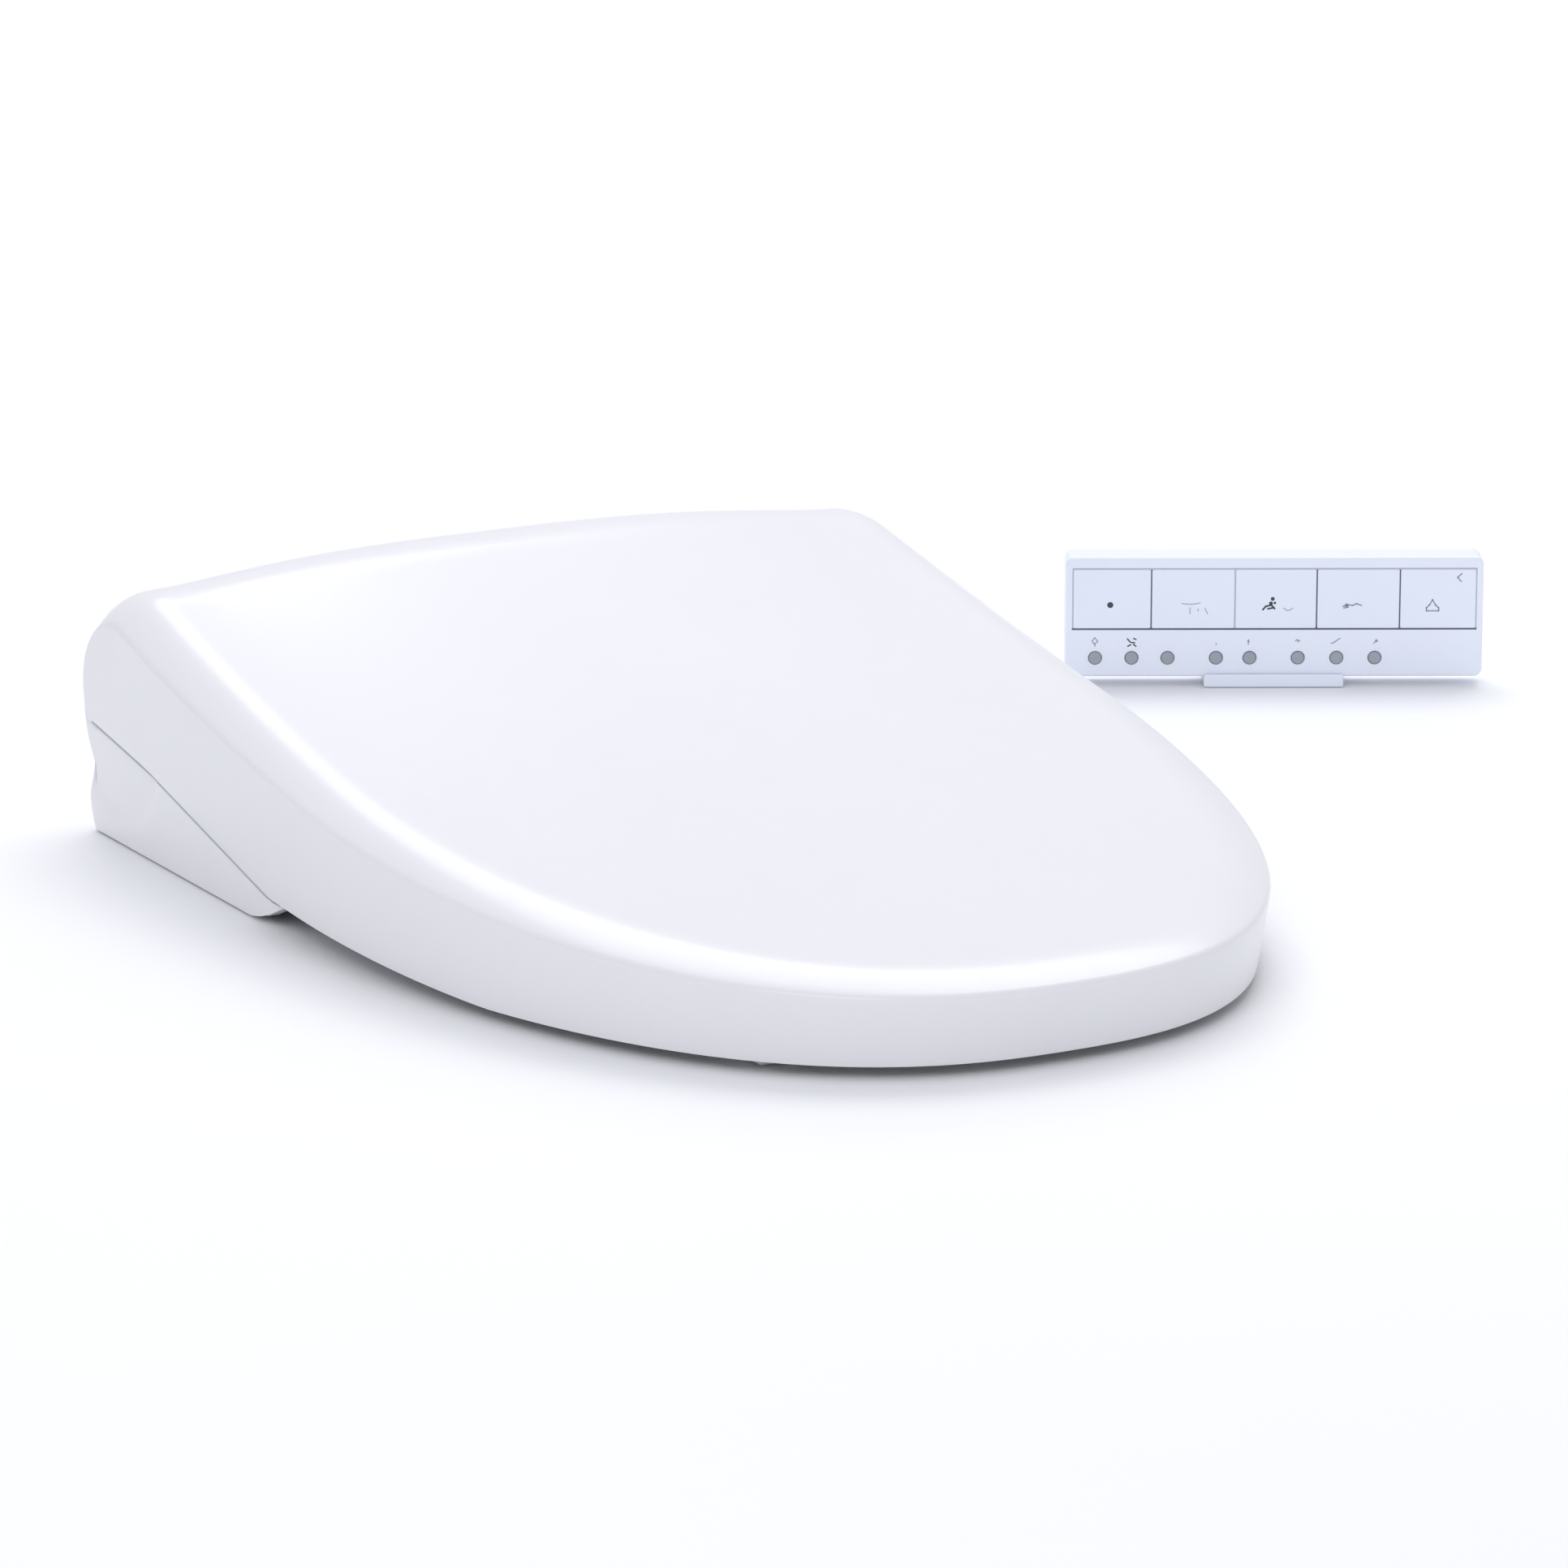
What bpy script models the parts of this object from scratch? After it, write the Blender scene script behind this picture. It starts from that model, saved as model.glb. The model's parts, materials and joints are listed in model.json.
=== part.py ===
"""Electric bidet seat: base unit, heated seat ring, lid, spray wand and remote control.

Metres, +Z up. The origin lies on the toilet's deck, midway between the two mounting bolts.
+X is to the right for someone facing the front, and the front points along -Y.
"""
import math

import bmesh
import bpy
from mathutils import Matrix, Vector

OBJECT_NAME = "electric_bidet_seat"
GAP = 0.0003
TINY = 1e-9

# Lid
LID_HALF_WIDTH = 0.1906
LID_NOSE_Y = -0.475
LID_WIDEST_Y = -0.178
LID_POWER_X = 2.43
LID_POWER_Y = 1.98
LID_WALL = 0.0025
CREASE_NOSE_Z = 0.0329
CREASE_RISE = 0.0752
CREASE_DIP = 0.0139
LID_LENGTH = 0.530
SHOULDER_WIDTH = 0.025
SHOULDER_NOSE = 0.006
SHOULDER_REAR = 0.012
CROWN_REAR = 0.0083
SKIRT_BOTTOM_Z = 0.0048
SEAM_RISES = ((-0.310, 0.050), (-0.150, 0.175), (-0.030, -0.066))
SKIRT_DRAFT_SIDE = 0.003
SKIRT_DRAFT_NOSE = 0.0058
TAPER_START_Y = -0.130

# Hinge line, along X
AXIS_Y = 0.003
AXIS_Z = 0.055
LID_CREASE_RADIUS = 0.040
TAIL_CUT = 0.0105
TAIL_POWER = 2.0
ARC_START = math.radians(102.5)
LID_WALL_END = math.radians(65)
SKIRT_END = math.radians(-5)
PIN_RADIUS = 0.005
PIN_INNER_X = 0.141
PIN_OUTER_X = 0.1845
PIN_BORE_INNER_X = 0.139
HUB_RADIUS = 0.0095
HUB_CLEARANCE = 0.0005
HUB_INNER_X = 0.176
HUB_OUTER_X = 0.1848
BEYOND_X = 0.190

# Base unit
COVER_HALF_WIDTH = 0.1800
COVER_RADIUS = 0.0422
COVER_WALL = 0.003
COVER_BOTTOM_Z = 0.0203
BASE_FRONT_Y = -0.070
BASE_REAR_Y = 0.0341
PANEL_INNER_X = 0.1803
PANEL_OUTER_X = 0.1846
PANEL_RADIUS = 0.0380
SLOT_INNER_X = 0.1485
SLOT_OUTER_X = 0.1715
SLOT_Y = (-0.090, 0.0165)
SLOT_Z = (0.010, 0.120)
COVER_BROW = (0.0635, 0.010)
WINDOW_LOW = (-0.1300, -0.0712, 0.0385)
WINDOW_HIGH = (-0.1060, -0.0675, 0.0495)
WINDOW_CLEARANCE = 0.0005
BUTTON_LOW = (-0.1370, -0.0725, 0.0045)
BUTTON_HIGH = (-0.1130, -0.0610, 0.0198)
BUTTON_CLEARANCE = 0.0005
CASE_TOP_Z = 0.020
CASE_BOTTOM_Z = 0.0010
CASE_FLOOR_Z = (0.0078, 0.0100)
CASE_WALL = 0.0025

# Mounting
INLET_PLACE = (-0.121, 0.0112)
GLAND_PLACE = (0.125, 0.0112)
PORT_RADIUS = 0.0060
PORT_INNER_Y = 0.0318
INLET_OUTER_Y = 0.0500
GLAND_OUTER_Y = 0.0420
BOLT_SPACING = 0.140
BOLT_RADIUS = 0.0035
BOLT_HOLE_RADIUS = 0.0045
BOLT_TOP_Z = 0.0072
BOLT_BOTTOM_Z = -0.060
BOLT_HEAD_RADIUS = 0.0075
NUT_Z = (-0.050, -0.022)
NUT_RADII = (0.0085, 0.0105)
MAT_TOP_Z = 0.0015
PLATE_TOP_Z = 0.0050
PLATE_SIZE = (0.200, 0.070)

# Seat ring
RING_HALF_WIDTH = 0.1760
RING_NOSE_Y = -0.4620
RING_REAR_Y = -0.0950
RING_INNER_HALF_WIDTH = 0.104
RING_INNER_NOSE_Y = -0.400
RING_INNER_REAR_Y = -0.128
RING_INNER_WIDEST_Y = -0.222
RING_REAR_POWER = 5.0
RING_INNER_REAR_POWER = 2.4
RING_BOTTOM_Z = 0.0080
RING_SPLIT_Z = 0.0127
RING_TOP_Z = 0.0265
RING_WALL = 0.003
RING_EDGE = 0.010
RING_DIP = 0.0015
RING_STATIONS = 56
SEAT_HEATER_Z = (0.0150, 0.0156)
SEAT_HEATER_INSET = 0.007
ARM_X = (0.1500, 0.1700)
ARM_EYE_RADIUS = 0.011
LID_BUMPER_PLACE = (0.138, -0.360)
LID_BUMPER_HEIGHT = 0.0125
LID_BUMPER_RADII = (0.0055, 0.0070)
SEAT_BUMPER_PLACES = {"front": (0.098, -0.403), "rear": (0.140, -0.175)}
SEAT_BUMPER_HALF_SIZE = (0.009, 0.016)

# Wand and its shutter
WAND_X = 0.0
WAND_SLOPE = math.radians(30)
WAND_EXIT = (-0.070, 0.006)
WAND_RADIUS = 0.0065
WAND_SETBACK = 0.045
WAND_LENGTH = 0.078
SHUTTER_HINGE = (-0.0715, 0.0212)
SHUTTER_HALF_WIDTH = 0.0125
FLAP_THICKNESS = 0.0016

# What the cover hides
DAMPER_RADIUS = 0.0165
DAMPER_X = (0.098, 0.1385)
WATER_HEATER_LOW = (-0.085, -0.045, 0.026)
WATER_HEATER_HIGH = (-0.030, 0.012, 0.062)
VALVE_LOW = (-0.137, -0.045, 0.0105)
VALVE_HIGH = (-0.105, -0.015, 0.034)
COIL_RADIUS = 0.009
COIL_Z = (0.030, 0.054)
BOARD_LOW = (0.020, -0.060, 0.0640)
BOARD_HIGH = (0.086, -0.004, 0.0656)
CARTRIDGE_LOW = (0.104, -0.0560, 0.0110)
CARTRIDGE_HIGH = (0.136, -0.0060, 0.0340)
DRYER_X = 0.075
DRYER_HALF_WIDTH = 0.020
FAN_Y = -0.012
FAN_RADIUS = 0.0190
FAN_Z = (0.0330, 0.0600)
FAN_EYE_RADIUS = 0.0090

# Remote control, in its own frame: x to its right, z up, -y towards its user
REMOTE_PLACE = (0.395, 0.010, 0.0045)
REMOTE_TURN = math.radians(-28.45)
REMOTE_SIZE = (0.191, 0.018, 0.056)
REMOTE_SPLIT_Y = -0.001
KEY_EDGES = (0.0032, 0.0391, 0.0774, 0.1148, 0.1528, 0.1878)
KEY_TOP = 0.0053
KEY_BOTTOM = 0.0334
BUTTON_PLACES = (0.0136, 0.0303, 0.0468, 0.0690, 0.0844, 0.1065, 0.1242, 0.1417)
BUTTON_DROP = 0.0471
BUTTON_RADIUS = 0.0029
REMOTE_WALL = 0.002
REMOTE_CORNER = 0.0035
HATCH_X = (0.0640, 0.1270)
HATCH_DROP = (0.0150, 0.0420)
BATTERY_RADIUS = 0.0050
BATTERY_X = (0.0730, 0.1175)
BATTERY_Y = 0.0018
BATTERY_DROPS = (0.0225, 0.0345)
HANGER_HALF_WIDTH = 0.032
REMOTE_CUTTERS = ("front_hollow", "key_window", "back_hollow", "hatch")
KEY_NAMES = ("stop", "rear_wash", "soft_wash", "front_wash", "dryer")

COLOURS = {
    "white_shell": ((0.90, 0.90, 0.92), 0.18, 0.0),
    "seat_plastic": ((0.90, 0.90, 0.91), 0.22, 0.0),
    "case_plastic": ((0.82, 0.82, 0.83), 0.45, 0.0),
    "grey_plastic": ((0.42, 0.43, 0.45), 0.50, 0.0),
    "black_plastic": ((0.06, 0.06, 0.07), 0.45, 0.0),
    "rubber": ((0.10, 0.10, 0.10), 0.80, 0.0),
    "soft_white": ((0.78, 0.78, 0.78), 0.70, 0.0),
    "steel": ((0.62, 0.63, 0.65), 0.28, 1.0),
    "brass": ((0.72, 0.53, 0.24), 0.30, 1.0),
    "board": ((0.05, 0.26, 0.12), 0.50, 0.0),
    "heater_film": ((0.75, 0.42, 0.16), 0.45, 0.3),
    "smoked_lens": ((0.05, 0.05, 0.06), 0.08, 0.0),
    "remote_white": ((0.88, 0.90, 0.95), 0.30, 0.0),
    "remote_key": ((0.87, 0.89, 0.94), 0.28, 0.0),
    "remote_grey": ((0.38, 0.40, 0.44), 0.40, 0.0),
    "battery": ((0.16, 0.30, 0.20), 0.35, 0.1),
}


# ---------------------------------------------------------------- helpers

def clear_scene():
    for item in list(bpy.data.objects):
        bpy.data.objects.remove(item, do_unlink=True)


def new_collection(name):
    group = bpy.data.collections.new(name)
    bpy.context.scene.collection.children.link(group)
    return group


def material(slot):
    found = bpy.data.materials.get(slot)
    if found:
        return found
    colour, roughness, metallic = COLOURS[slot]
    made = bpy.data.materials.new(slot)
    made.use_nodes = True
    shader = made.node_tree.nodes["Principled BSDF"]
    shader.inputs["Base Color"].default_value = (*colour, 1.0)
    shader.inputs["Roughness"].default_value = roughness
    shader.inputs["Metallic"].default_value = metallic
    return made


def add_object(name, mesh, slot):
    item = bpy.data.objects.new(name, mesh)
    PARTS.objects.link(item)
    mesh.materials.clear()
    mesh.materials.append(material(slot))
    return item


def as_cutter(item):
    for group in list(item.users_collection):
        group.objects.unlink(item)
    CUTTERS.objects.link(item)
    item.hide_render = True
    item.display_type = "WIRE"
    return item


def boolean(item, other, operation="DIFFERENCE"):
    step = item.modifiers.new(other.name, "BOOLEAN")
    step.operation = operation
    step.solver = "EXACT"
    step.object = as_cutter(other)


def bevel(item, width, segments=2, angle=35):
    step = item.modifiers.new("edges", "BEVEL")
    step.width = width
    step.segments = segments
    step.limit_method = "ANGLE"
    step.angle_limit = math.radians(angle)


def mesh_of(name, work, smooth=True):
    mesh = bpy.data.meshes.new(name)
    work.to_mesh(mesh)
    work.free()
    if smooth:
        mesh.shade_smooth()
        mesh.set_sharp_from_angle(angle=math.radians(40))
    return mesh


def box(name, low, high, slot, round_edges=0.0, segments=2):
    """A block from its lowest to its highest corner."""
    work = bmesh.new()
    bmesh.ops.create_cube(work, size=1.0)
    size = [b - a for a, b in zip(low, high)]
    bmesh.ops.scale(work, vec=size, verts=work.verts)
    item = add_object(name, mesh_of(name, work, smooth=False), slot)
    item.location = [(a + b) / 2 for a, b in zip(low, high)]
    if round_edges:
        bevel(item, round_edges, segments)
    return item


def cylinder(name, radius, start, end, slot, sides=24, far_radius=None):
    """A round bar, or a cone, from one point to another."""
    start, end = Vector(start), Vector(end)
    along = end - start
    work = bmesh.new()
    bmesh.ops.create_cone(
        work,
        cap_ends=True,
        segments=sides,
        radius1=radius,
        radius2=radius if far_radius is None else far_radius,
        depth=along.length,
    )
    item = add_object(name, mesh_of(name, work), slot)
    item.location = (start + end) / 2
    item.rotation_mode = "QUATERNION"
    item.rotation_quaternion = Vector((0, 0, 1)).rotation_difference(along)
    return item


def flat_outline(name, points, low, high, slot, axis="Z"):
    """A closed outline, as a filled 2D curve, extruded from low to high along an axis.

    Along X the outline's points are (y, z); along Y they are (x, z); along Z they are (x, y).
    """
    curve = bpy.data.curves.new(name, "CURVE")
    curve.dimensions = "2D"
    curve.fill_mode = "BOTH"
    curve.extrude = (high - low) / 2
    spline = curve.splines.new("POLY")
    spline.points.add(len(points) - 1)
    for spot, (u, v) in zip(spline.points, points):
        spot.co = (u, v, 0.0, 1.0)
    spline.use_cyclic_u = True
    guide = bpy.data.objects.new(name + "_outline", curve)
    bpy.context.scene.collection.objects.link(guide)
    bpy.context.view_layer.update()
    mesh = bpy.data.meshes.new_from_object(guide.evaluated_get(bpy.context.evaluated_depsgraph_get()))
    bpy.data.objects.remove(guide, do_unlink=True)
    turns = {
        "Z": Matrix.Identity(4),
        "X": Matrix(((0, 0, 1, 0), (1, 0, 0, 0), (0, 1, 0, 0), (0, 0, 0, 1))),
        "Y": Matrix(((1, 0, 0, 0), (0, 0, -1, 0), (0, 1, 0, 0), (0, 0, 0, 1))),
    }
    work = bmesh.new()
    work.from_mesh(mesh)
    bmesh.ops.remove_doubles(work, verts=work.verts, dist=1e-6)
    bmesh.ops.transform(work, matrix=turns[axis], verts=work.verts)
    bmesh.ops.recalc_face_normals(work, faces=work.faces)
    item = add_object(name, mesh_of(name, work), slot)
    middle = (low + high) / 2
    item.location = {"Z": (0, 0, middle), "X": (middle, 0, 0), "Y": (0, middle, 0)}[axis]
    return item


def arc(centre, radius, start, end, count):
    """Points on a circle, in degrees from the first axis."""
    spots = []
    for i in range(count):
        turn = math.radians(start + (end - start) * i / (count - 1))
        spots.append((centre[0] + radius * math.cos(turn), centre[1] + radius * math.sin(turn)))
    return spots


def rounded_rectangle(low, high, radius, count=5):
    spots = []
    corners = (
        (high[0], high[1], 0),
        (low[0], high[1], 90),
        (low[0], low[1], 180),
        (high[0], low[1], 270),
    )
    for x, y, start in corners:
        centre = (x - math.copysign(radius, x - (low[0] + high[0]) / 2),
                  y - math.copysign(radius, y - (low[1] + high[1]) / 2))
        spots += arc(centre, radius, start, start + 90, count)
    return spots


def grid_faces(work, rows, closed=False):
    """Quads between neighbouring rows of vertices."""
    for low, high in zip(rows, rows[1:]):
        spans = range(len(low)) if closed else range(len(low) - 1)
        for i in spans:
            j = (i + 1) % len(low)
            corners = []
            for spot in (low[i], low[j], high[j], high[i]):
                if spot not in corners:
                    corners.append(spot)
            if len(corners) > 2:
                work.faces.new(corners)


def sides():
    return (("left", -1), ("right", 1))


def on_axis(x):
    return (x, AXIS_Y, AXIS_Z)


# ---------------------------------------------------------------- lid

def crease_z(y):
    """Height of the lid's side crease."""
    share = (y - LID_NOSE_Y) / LID_LENGTH
    return CREASE_NOSE_Z + CREASE_RISE * share - CREASE_DIP * 4 * share * (1 - share)


def crease_slope(y):
    share = (y - LID_NOSE_Y) / LID_LENGTH
    return (CREASE_RISE - CREASE_DIP * 4 * (1 - 2 * share)) / LID_LENGTH


def seam_z(y):
    """Height of the skirt's lower edge, which rises towards the hinge."""
    return SKIRT_BOTTOM_Z + sum(max(0.0, y - start) * slope for start, slope in SEAM_RISES)


def plan_point(turn, inset=0.0):
    """A point of the lid's rounded front outline, moved in by inset along the outline's normal.

    The third value tells how far the outline faces forwards there, from 0 to 1.
    """
    reach = LID_WIDEST_Y - LID_NOSE_Y
    c = max(math.cos(turn), 0.0)
    s = max(math.sin(turn), 0.0)
    x = LID_HALF_WIDTH * c ** (2 / LID_POWER_X)
    ahead = reach * s ** (2 / LID_POWER_Y)
    normal = Vector((
        (max(x, TINY) / LID_HALF_WIDTH) ** (LID_POWER_X - 1) / LID_HALF_WIDTH,
        -(max(ahead, TINY) / reach) ** (LID_POWER_Y - 1) / reach,
    )).normalized()
    return x - normal.x * inset, LID_WIDEST_Y - ahead - normal.y * inset, -normal.y


def lid_stations(front, side, rear):
    """Stations from the nose to the rear end of the skirt, as (kind, value)."""
    stations = [("front", math.pi / 2 * (1 - i / front)) for i in range(front + 1)]
    start = AXIS_Y + LID_CREASE_RADIUS * math.cos(ARC_START)
    spans = (
        ("side", LID_WIDEST_Y, start, side),
        ("rear", ARC_START, LID_WALL_END, rear),
        ("tail", LID_WALL_END, SKIRT_END, rear),
    )
    for kind, low, high, count in spans:
        stations += [(kind, low + (high - low) * (i + 1) / count) for i in range(count)]
    return stations


def crease_x(y):
    """Half the width between the side creases, which close in towards the hinge."""
    share = max(0.0, (y - TAPER_START_Y) / (AXIS_Y - TAPER_START_Y))
    return LID_HALF_WIDTH - SKIRT_DRAFT_SIDE * min(share, 1.0) ** 2


def tail_radius(turn):
    """Distance of the side wall's rear edge from the hinge line, at an angle round that line."""
    share = max(0.0, (ARC_START - turn) / (ARC_START - SKIRT_END))
    return LID_CREASE_RADIUS - TAIL_CUT * share ** TAIL_POWER


def tail_y(turn):
    return AXIS_Y + tail_radius(turn) * math.cos(turn)


def lid_point(station, inset, rise):
    """A point of the lid's outside: inset from the outline, and raised along the profile's normal."""
    kind, value = station
    if kind == "front":
        x, y, _ = plan_point(value, inset)
    elif kind == "side":
        x, y = crease_x(value) - inset, value
    if kind in ("front", "side"):
        share = (y - LID_NOSE_Y) / (AXIS_Y - LID_NOSE_Y)
        lift = rise * (SHOULDER_NOSE + (SHOULDER_REAR - SHOULDER_NOSE) * share)
        lean = math.atan(crease_slope(y)) * max(share, 0.0) ** 2
        return x, y - lift * math.sin(lean), crease_z(y) + lift * math.cos(lean)
    edge = tail_radius(value)
    radius = edge + rise * (LID_CREASE_RADIUS + SHOULDER_REAR - edge)
    return (
        LID_HALF_WIDTH - SKIRT_DRAFT_SIDE - inset,
        AXIS_Y + radius * math.cos(value),
        AXIS_Z + radius * math.sin(value),
    )


def lid_up(station):
    """The direction square to the lid's top at a station, and the share of the rear crown there."""
    kind, value = station
    if kind == "rear":
        return Vector((0.0, math.cos(value), math.sin(value))), 1.0
    y = lid_point(station, SHOULDER_WIDTH, 1.0)[1] if kind == "front" else value
    share = max(0.0, (y - LID_NOSE_Y) / (AXIS_Y - LID_NOSE_Y))
    lean = math.atan(crease_slope(y)) * share ** 2
    return Vector((0.0, -math.sin(lean), math.cos(lean))), share ** 2


def lid_foot(station):
    """The point of the skirt's lower edge under a station."""
    kind, value = station
    if kind == "front":
        _, _, ahead = plan_point(value)
        draft = SKIRT_DRAFT_SIDE + (SKIRT_DRAFT_NOSE - SKIRT_DRAFT_SIDE) * ahead
        x, y, _ = plan_point(value, draft)
    elif kind == "side":
        x, y = LID_HALF_WIDTH - SKIRT_DRAFT_SIDE, value
    else:
        x = LID_HALF_WIDTH - SKIRT_DRAFT_SIDE
        y = tail_y(value)
        if kind == "tail":
            share = (LID_WALL_END - value) / (LID_WALL_END - SKIRT_END)
            y = tail_y(LID_WALL_END) + (tail_y(SKIRT_END) - tail_y(LID_WALL_END)) * share
    return x, y, seam_z(y)


def shoulder_rise(inset):
    return 1 - (1 - min(inset / SHOULDER_WIDTH, 1.0)) ** 2


def lid_shell():
    """One open sheet, skirt, shoulder and top, thickened inwards."""
    stations = lid_stations(front=13, side=5, rear=4)
    insets = (0.0, 0.0035, 0.010, 0.018, SHOULDER_WIDTH)
    across = 10
    work = bmesh.new()

    def column(station, side):
        x, y, z = lid_foot(station)
        foot = work.verts.new((side * x, y, z))
        rise = [lid_point(station, inset, shoulder_rise(inset)) for inset in insets]
        if station[0] == "tail":
            rise = rise[:1]
        return [foot] + [work.verts.new((side * x, y, z)) for x, y, z in rise]

    nose = column(stations[0], 0)
    columns = {1: [nose], -1: [nose]}
    for side in (1, -1):
        columns[side] += [column(station, side) for station in stations[1:]]
    for side in (1, -1):
        for low, high in zip(columns[side], columns[side][1:]):
            count = min(len(low), len(high))
            grid_faces(work, [low[:count], high[:count]])
    rows = [[nose[-1]] * (across + 1)]
    for left, right, station in zip(columns[-1][1:], columns[1][1:], stations[1:]):
        if station[0] == "tail":
            break
        a, b = left[-1].co, right[-1].co
        up, share = lid_up(station)
        inner = []
        for i in range(1, across):
            bulge = CROWN_REAR * share * (1 - abs(2 * i / across - 1) ** 3) ** 1.5
            inner.append(work.verts.new(a.lerp(b, i / across) + up * bulge))
        rows.append([left[-1]] + inner + [right[-1]])
    grid_faces(work, rows)
    bmesh.ops.recalc_face_normals(work, faces=work.faces)
    if max(work.faces, key=lambda face: face.calc_center_median().z).normal.z < 0:
        bmesh.ops.reverse_faces(work, faces=work.faces)
    item = add_object("lid_shell", mesh_of("lid_shell", work), "white_shell")
    item.data.transform(Matrix.Translation((0, -AXIS_Y, -AXIS_Z)))
    item.location = on_axis(0)
    step = item.modifiers.new("wall", "SOLIDIFY")
    step.thickness = LID_WALL
    step.offset = -1
    step.use_even_offset = True


def lid_pivots():
    for name, side in sides():
        start, end = on_axis(side * HUB_INNER_X), on_axis(side * HUB_OUTER_X)
        hub = cylinder("lid_pivot_" + name, HUB_RADIUS, start, end, "grey_plastic")
        boolean(hub, cylinder("lid_pivot_bore_" + name, PIN_RADIUS + GAP, on_axis(side * SLOT_OUTER_X),
                              on_axis(side * BEYOND_X), "grey_plastic"))


def lid_bumpers():
    low = RING_TOP_Z + GAP
    high = low + LID_BUMPER_HEIGHT
    foot, head = LID_BUMPER_RADII
    y = LID_BUMPER_PLACE[1]
    for name, side in sides():
        x = side * LID_BUMPER_PLACE[0]
        cylinder("lid_bumper_" + name, foot, (x, y, low), (x, y, high), "soft_white", 16, head)


# ---------------------------------------------------------------- seat

def ring_outline(turn, half_width, nose_y, rear_y, widest_y, rear_power):
    """A point of a closed egg outline; turn runs round it from the nose."""
    s, c = math.sin(turn), -math.cos(turn)
    power_x, power_y, end_y = rear_power, rear_power, rear_y
    if c < 0:
        power_x, power_y, end_y = LID_POWER_X, LID_POWER_Y, nose_y
    x = half_width * math.copysign(abs(s) ** (2 / power_x), s)
    return Vector((x, widest_y + (end_y - widest_y) * abs(c) ** (2 / power_y)))


def ring_edges(turn):
    outer = ring_outline(
        turn, RING_HALF_WIDTH, RING_NOSE_Y, RING_REAR_Y, LID_WIDEST_Y, RING_REAR_POWER
    )
    inner = ring_outline(
        turn,
        RING_INNER_HALF_WIDTH,
        RING_INNER_NOSE_Y,
        RING_INNER_REAR_Y,
        RING_INNER_WIDEST_Y,
        RING_INNER_REAR_POWER,
    )
    return outer, inner


def ring_loft(name, section, slot):
    """A closed ring: section(width) gives (distance from the outer edge, height) points."""
    work = bmesh.new()
    rows = []
    for i in range(RING_STATIONS):
        outer, inner = ring_edges(2 * math.pi * i / RING_STATIONS)
        inward = (inner - outer).normalized()
        row = []
        for reach, height in section((inner - outer).length):
            spot = outer + inward * reach
            row.append(work.verts.new((spot.x, spot.y, height)))
        rows.append(row)
    grid_faces(work, rows + [rows[0]], closed=True)
    bmesh.ops.recalc_face_normals(work, faces=work.faces)
    item = add_object(name, mesh_of(name, work), slot)
    item.data.transform(Matrix.Translation((0, -AXIS_Y, -AXIS_Z)))
    item.location = on_axis(0)
    return item


def ring_top_section(width):
    outer = [(RING_EDGE - u, v) for u, v in arc((0.0, RING_TOP_Z - RING_EDGE), RING_EDGE, 0, 90, 7)]
    inner = [(width - reach, height) for reach, height in reversed(outer)]
    dip = [(width / 2, RING_TOP_Z - RING_DIP)]
    outside = [(0.0, RING_SPLIT_Z)] + outer + dip + inner + [(width, RING_SPLIT_Z)]
    ceiling = RING_TOP_Z - RING_EDGE + RING_WALL
    near, far = RING_WALL, width - RING_WALL
    return outside + [(far, RING_SPLIT_Z), (far, ceiling), (near, ceiling), (near, RING_SPLIT_Z)]


def ring_bottom_section(width):
    high = RING_SPLIT_Z - GAP
    return [(0.001, high), (width - 0.001, high), (width - 0.004, RING_BOTTOM_Z), (0.004, RING_BOTTOM_Z)]


def seat_arm_outline():
    eye = arc((AXIS_Y, AXIS_Z), ARM_EYE_RADIUS, -70, 110, 13)
    return [
        (-0.1350, 0.0123), (-0.1350, 0.0084), (-0.0860, 0.0084), (-0.0745, 0.0212), (-0.0080, 0.0435),
    ] + eye + [(-0.0300, 0.0585), (-0.0945, 0.0340), (-0.0945, 0.0123)]


def seat_ring_bottom():
    ring = ring_loft("seat_ring_bottom", ring_bottom_section, "seat_plastic")
    for name, side in sides():
        low, high = sorted((side * ARM_X[0], side * ARM_X[1]))
        arm = flat_outline("seat_arm_" + name, seat_arm_outline(), low, high, "seat_plastic", "X")
        boolean(ring, arm, "UNION")
        start, end = on_axis(side * PIN_INNER_X), on_axis(side * HUB_INNER_X)
        boolean(ring, cylinder("seat_arm_bore_" + name, PIN_RADIUS + GAP, start, end, "steel"))


def seat_ring_top():
    ring_loft("seat_ring_top", ring_top_section, "seat_plastic")


def seat_heater_section(width):
    near, far = SEAT_HEATER_INSET, width - SEAT_HEATER_INSET
    low, high = SEAT_HEATER_Z
    return [(near, low), (near, high), (far, high), (far, low)]


def seat_heater():
    ring_loft("seat_heater", seat_heater_section, "heater_film")


def seat_bumpers():
    wide, long = SEAT_BUMPER_HALF_SIZE
    for end, (x, y) in SEAT_BUMPER_PLACES.items():
        for name, side in sides():
            low = (side * x - wide, y - long, GAP)
            high = (side * x + wide, y + long, RING_BOTTOM_Z - GAP)
            box(f"seat_bumper_{end}_{name}", low, high, "soft_white", 0.0025)


# ---------------------------------------------------------------- base unit

def cover_outline(radius=COVER_RADIUS, inset=0.0):
    """Side profile of the base unit's cover: (y, z) from the rear foot round to the front."""
    low = COVER_BOTTOM_Z if not inset else COVER_BOTTOM_Z - 0.004
    back = arc((AXIS_Y, AXIS_Z), radius, -43, 98, 19)
    rear_foot = (back[0][0], low)
    front = BASE_FRONT_Y + inset
    brow_z, brow_radius = COVER_BROW
    brow = arc((front + brow_radius, brow_z - inset), brow_radius, 115, 180, 5)
    return [rear_foot] + back + brow + [(front, low)]


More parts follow.
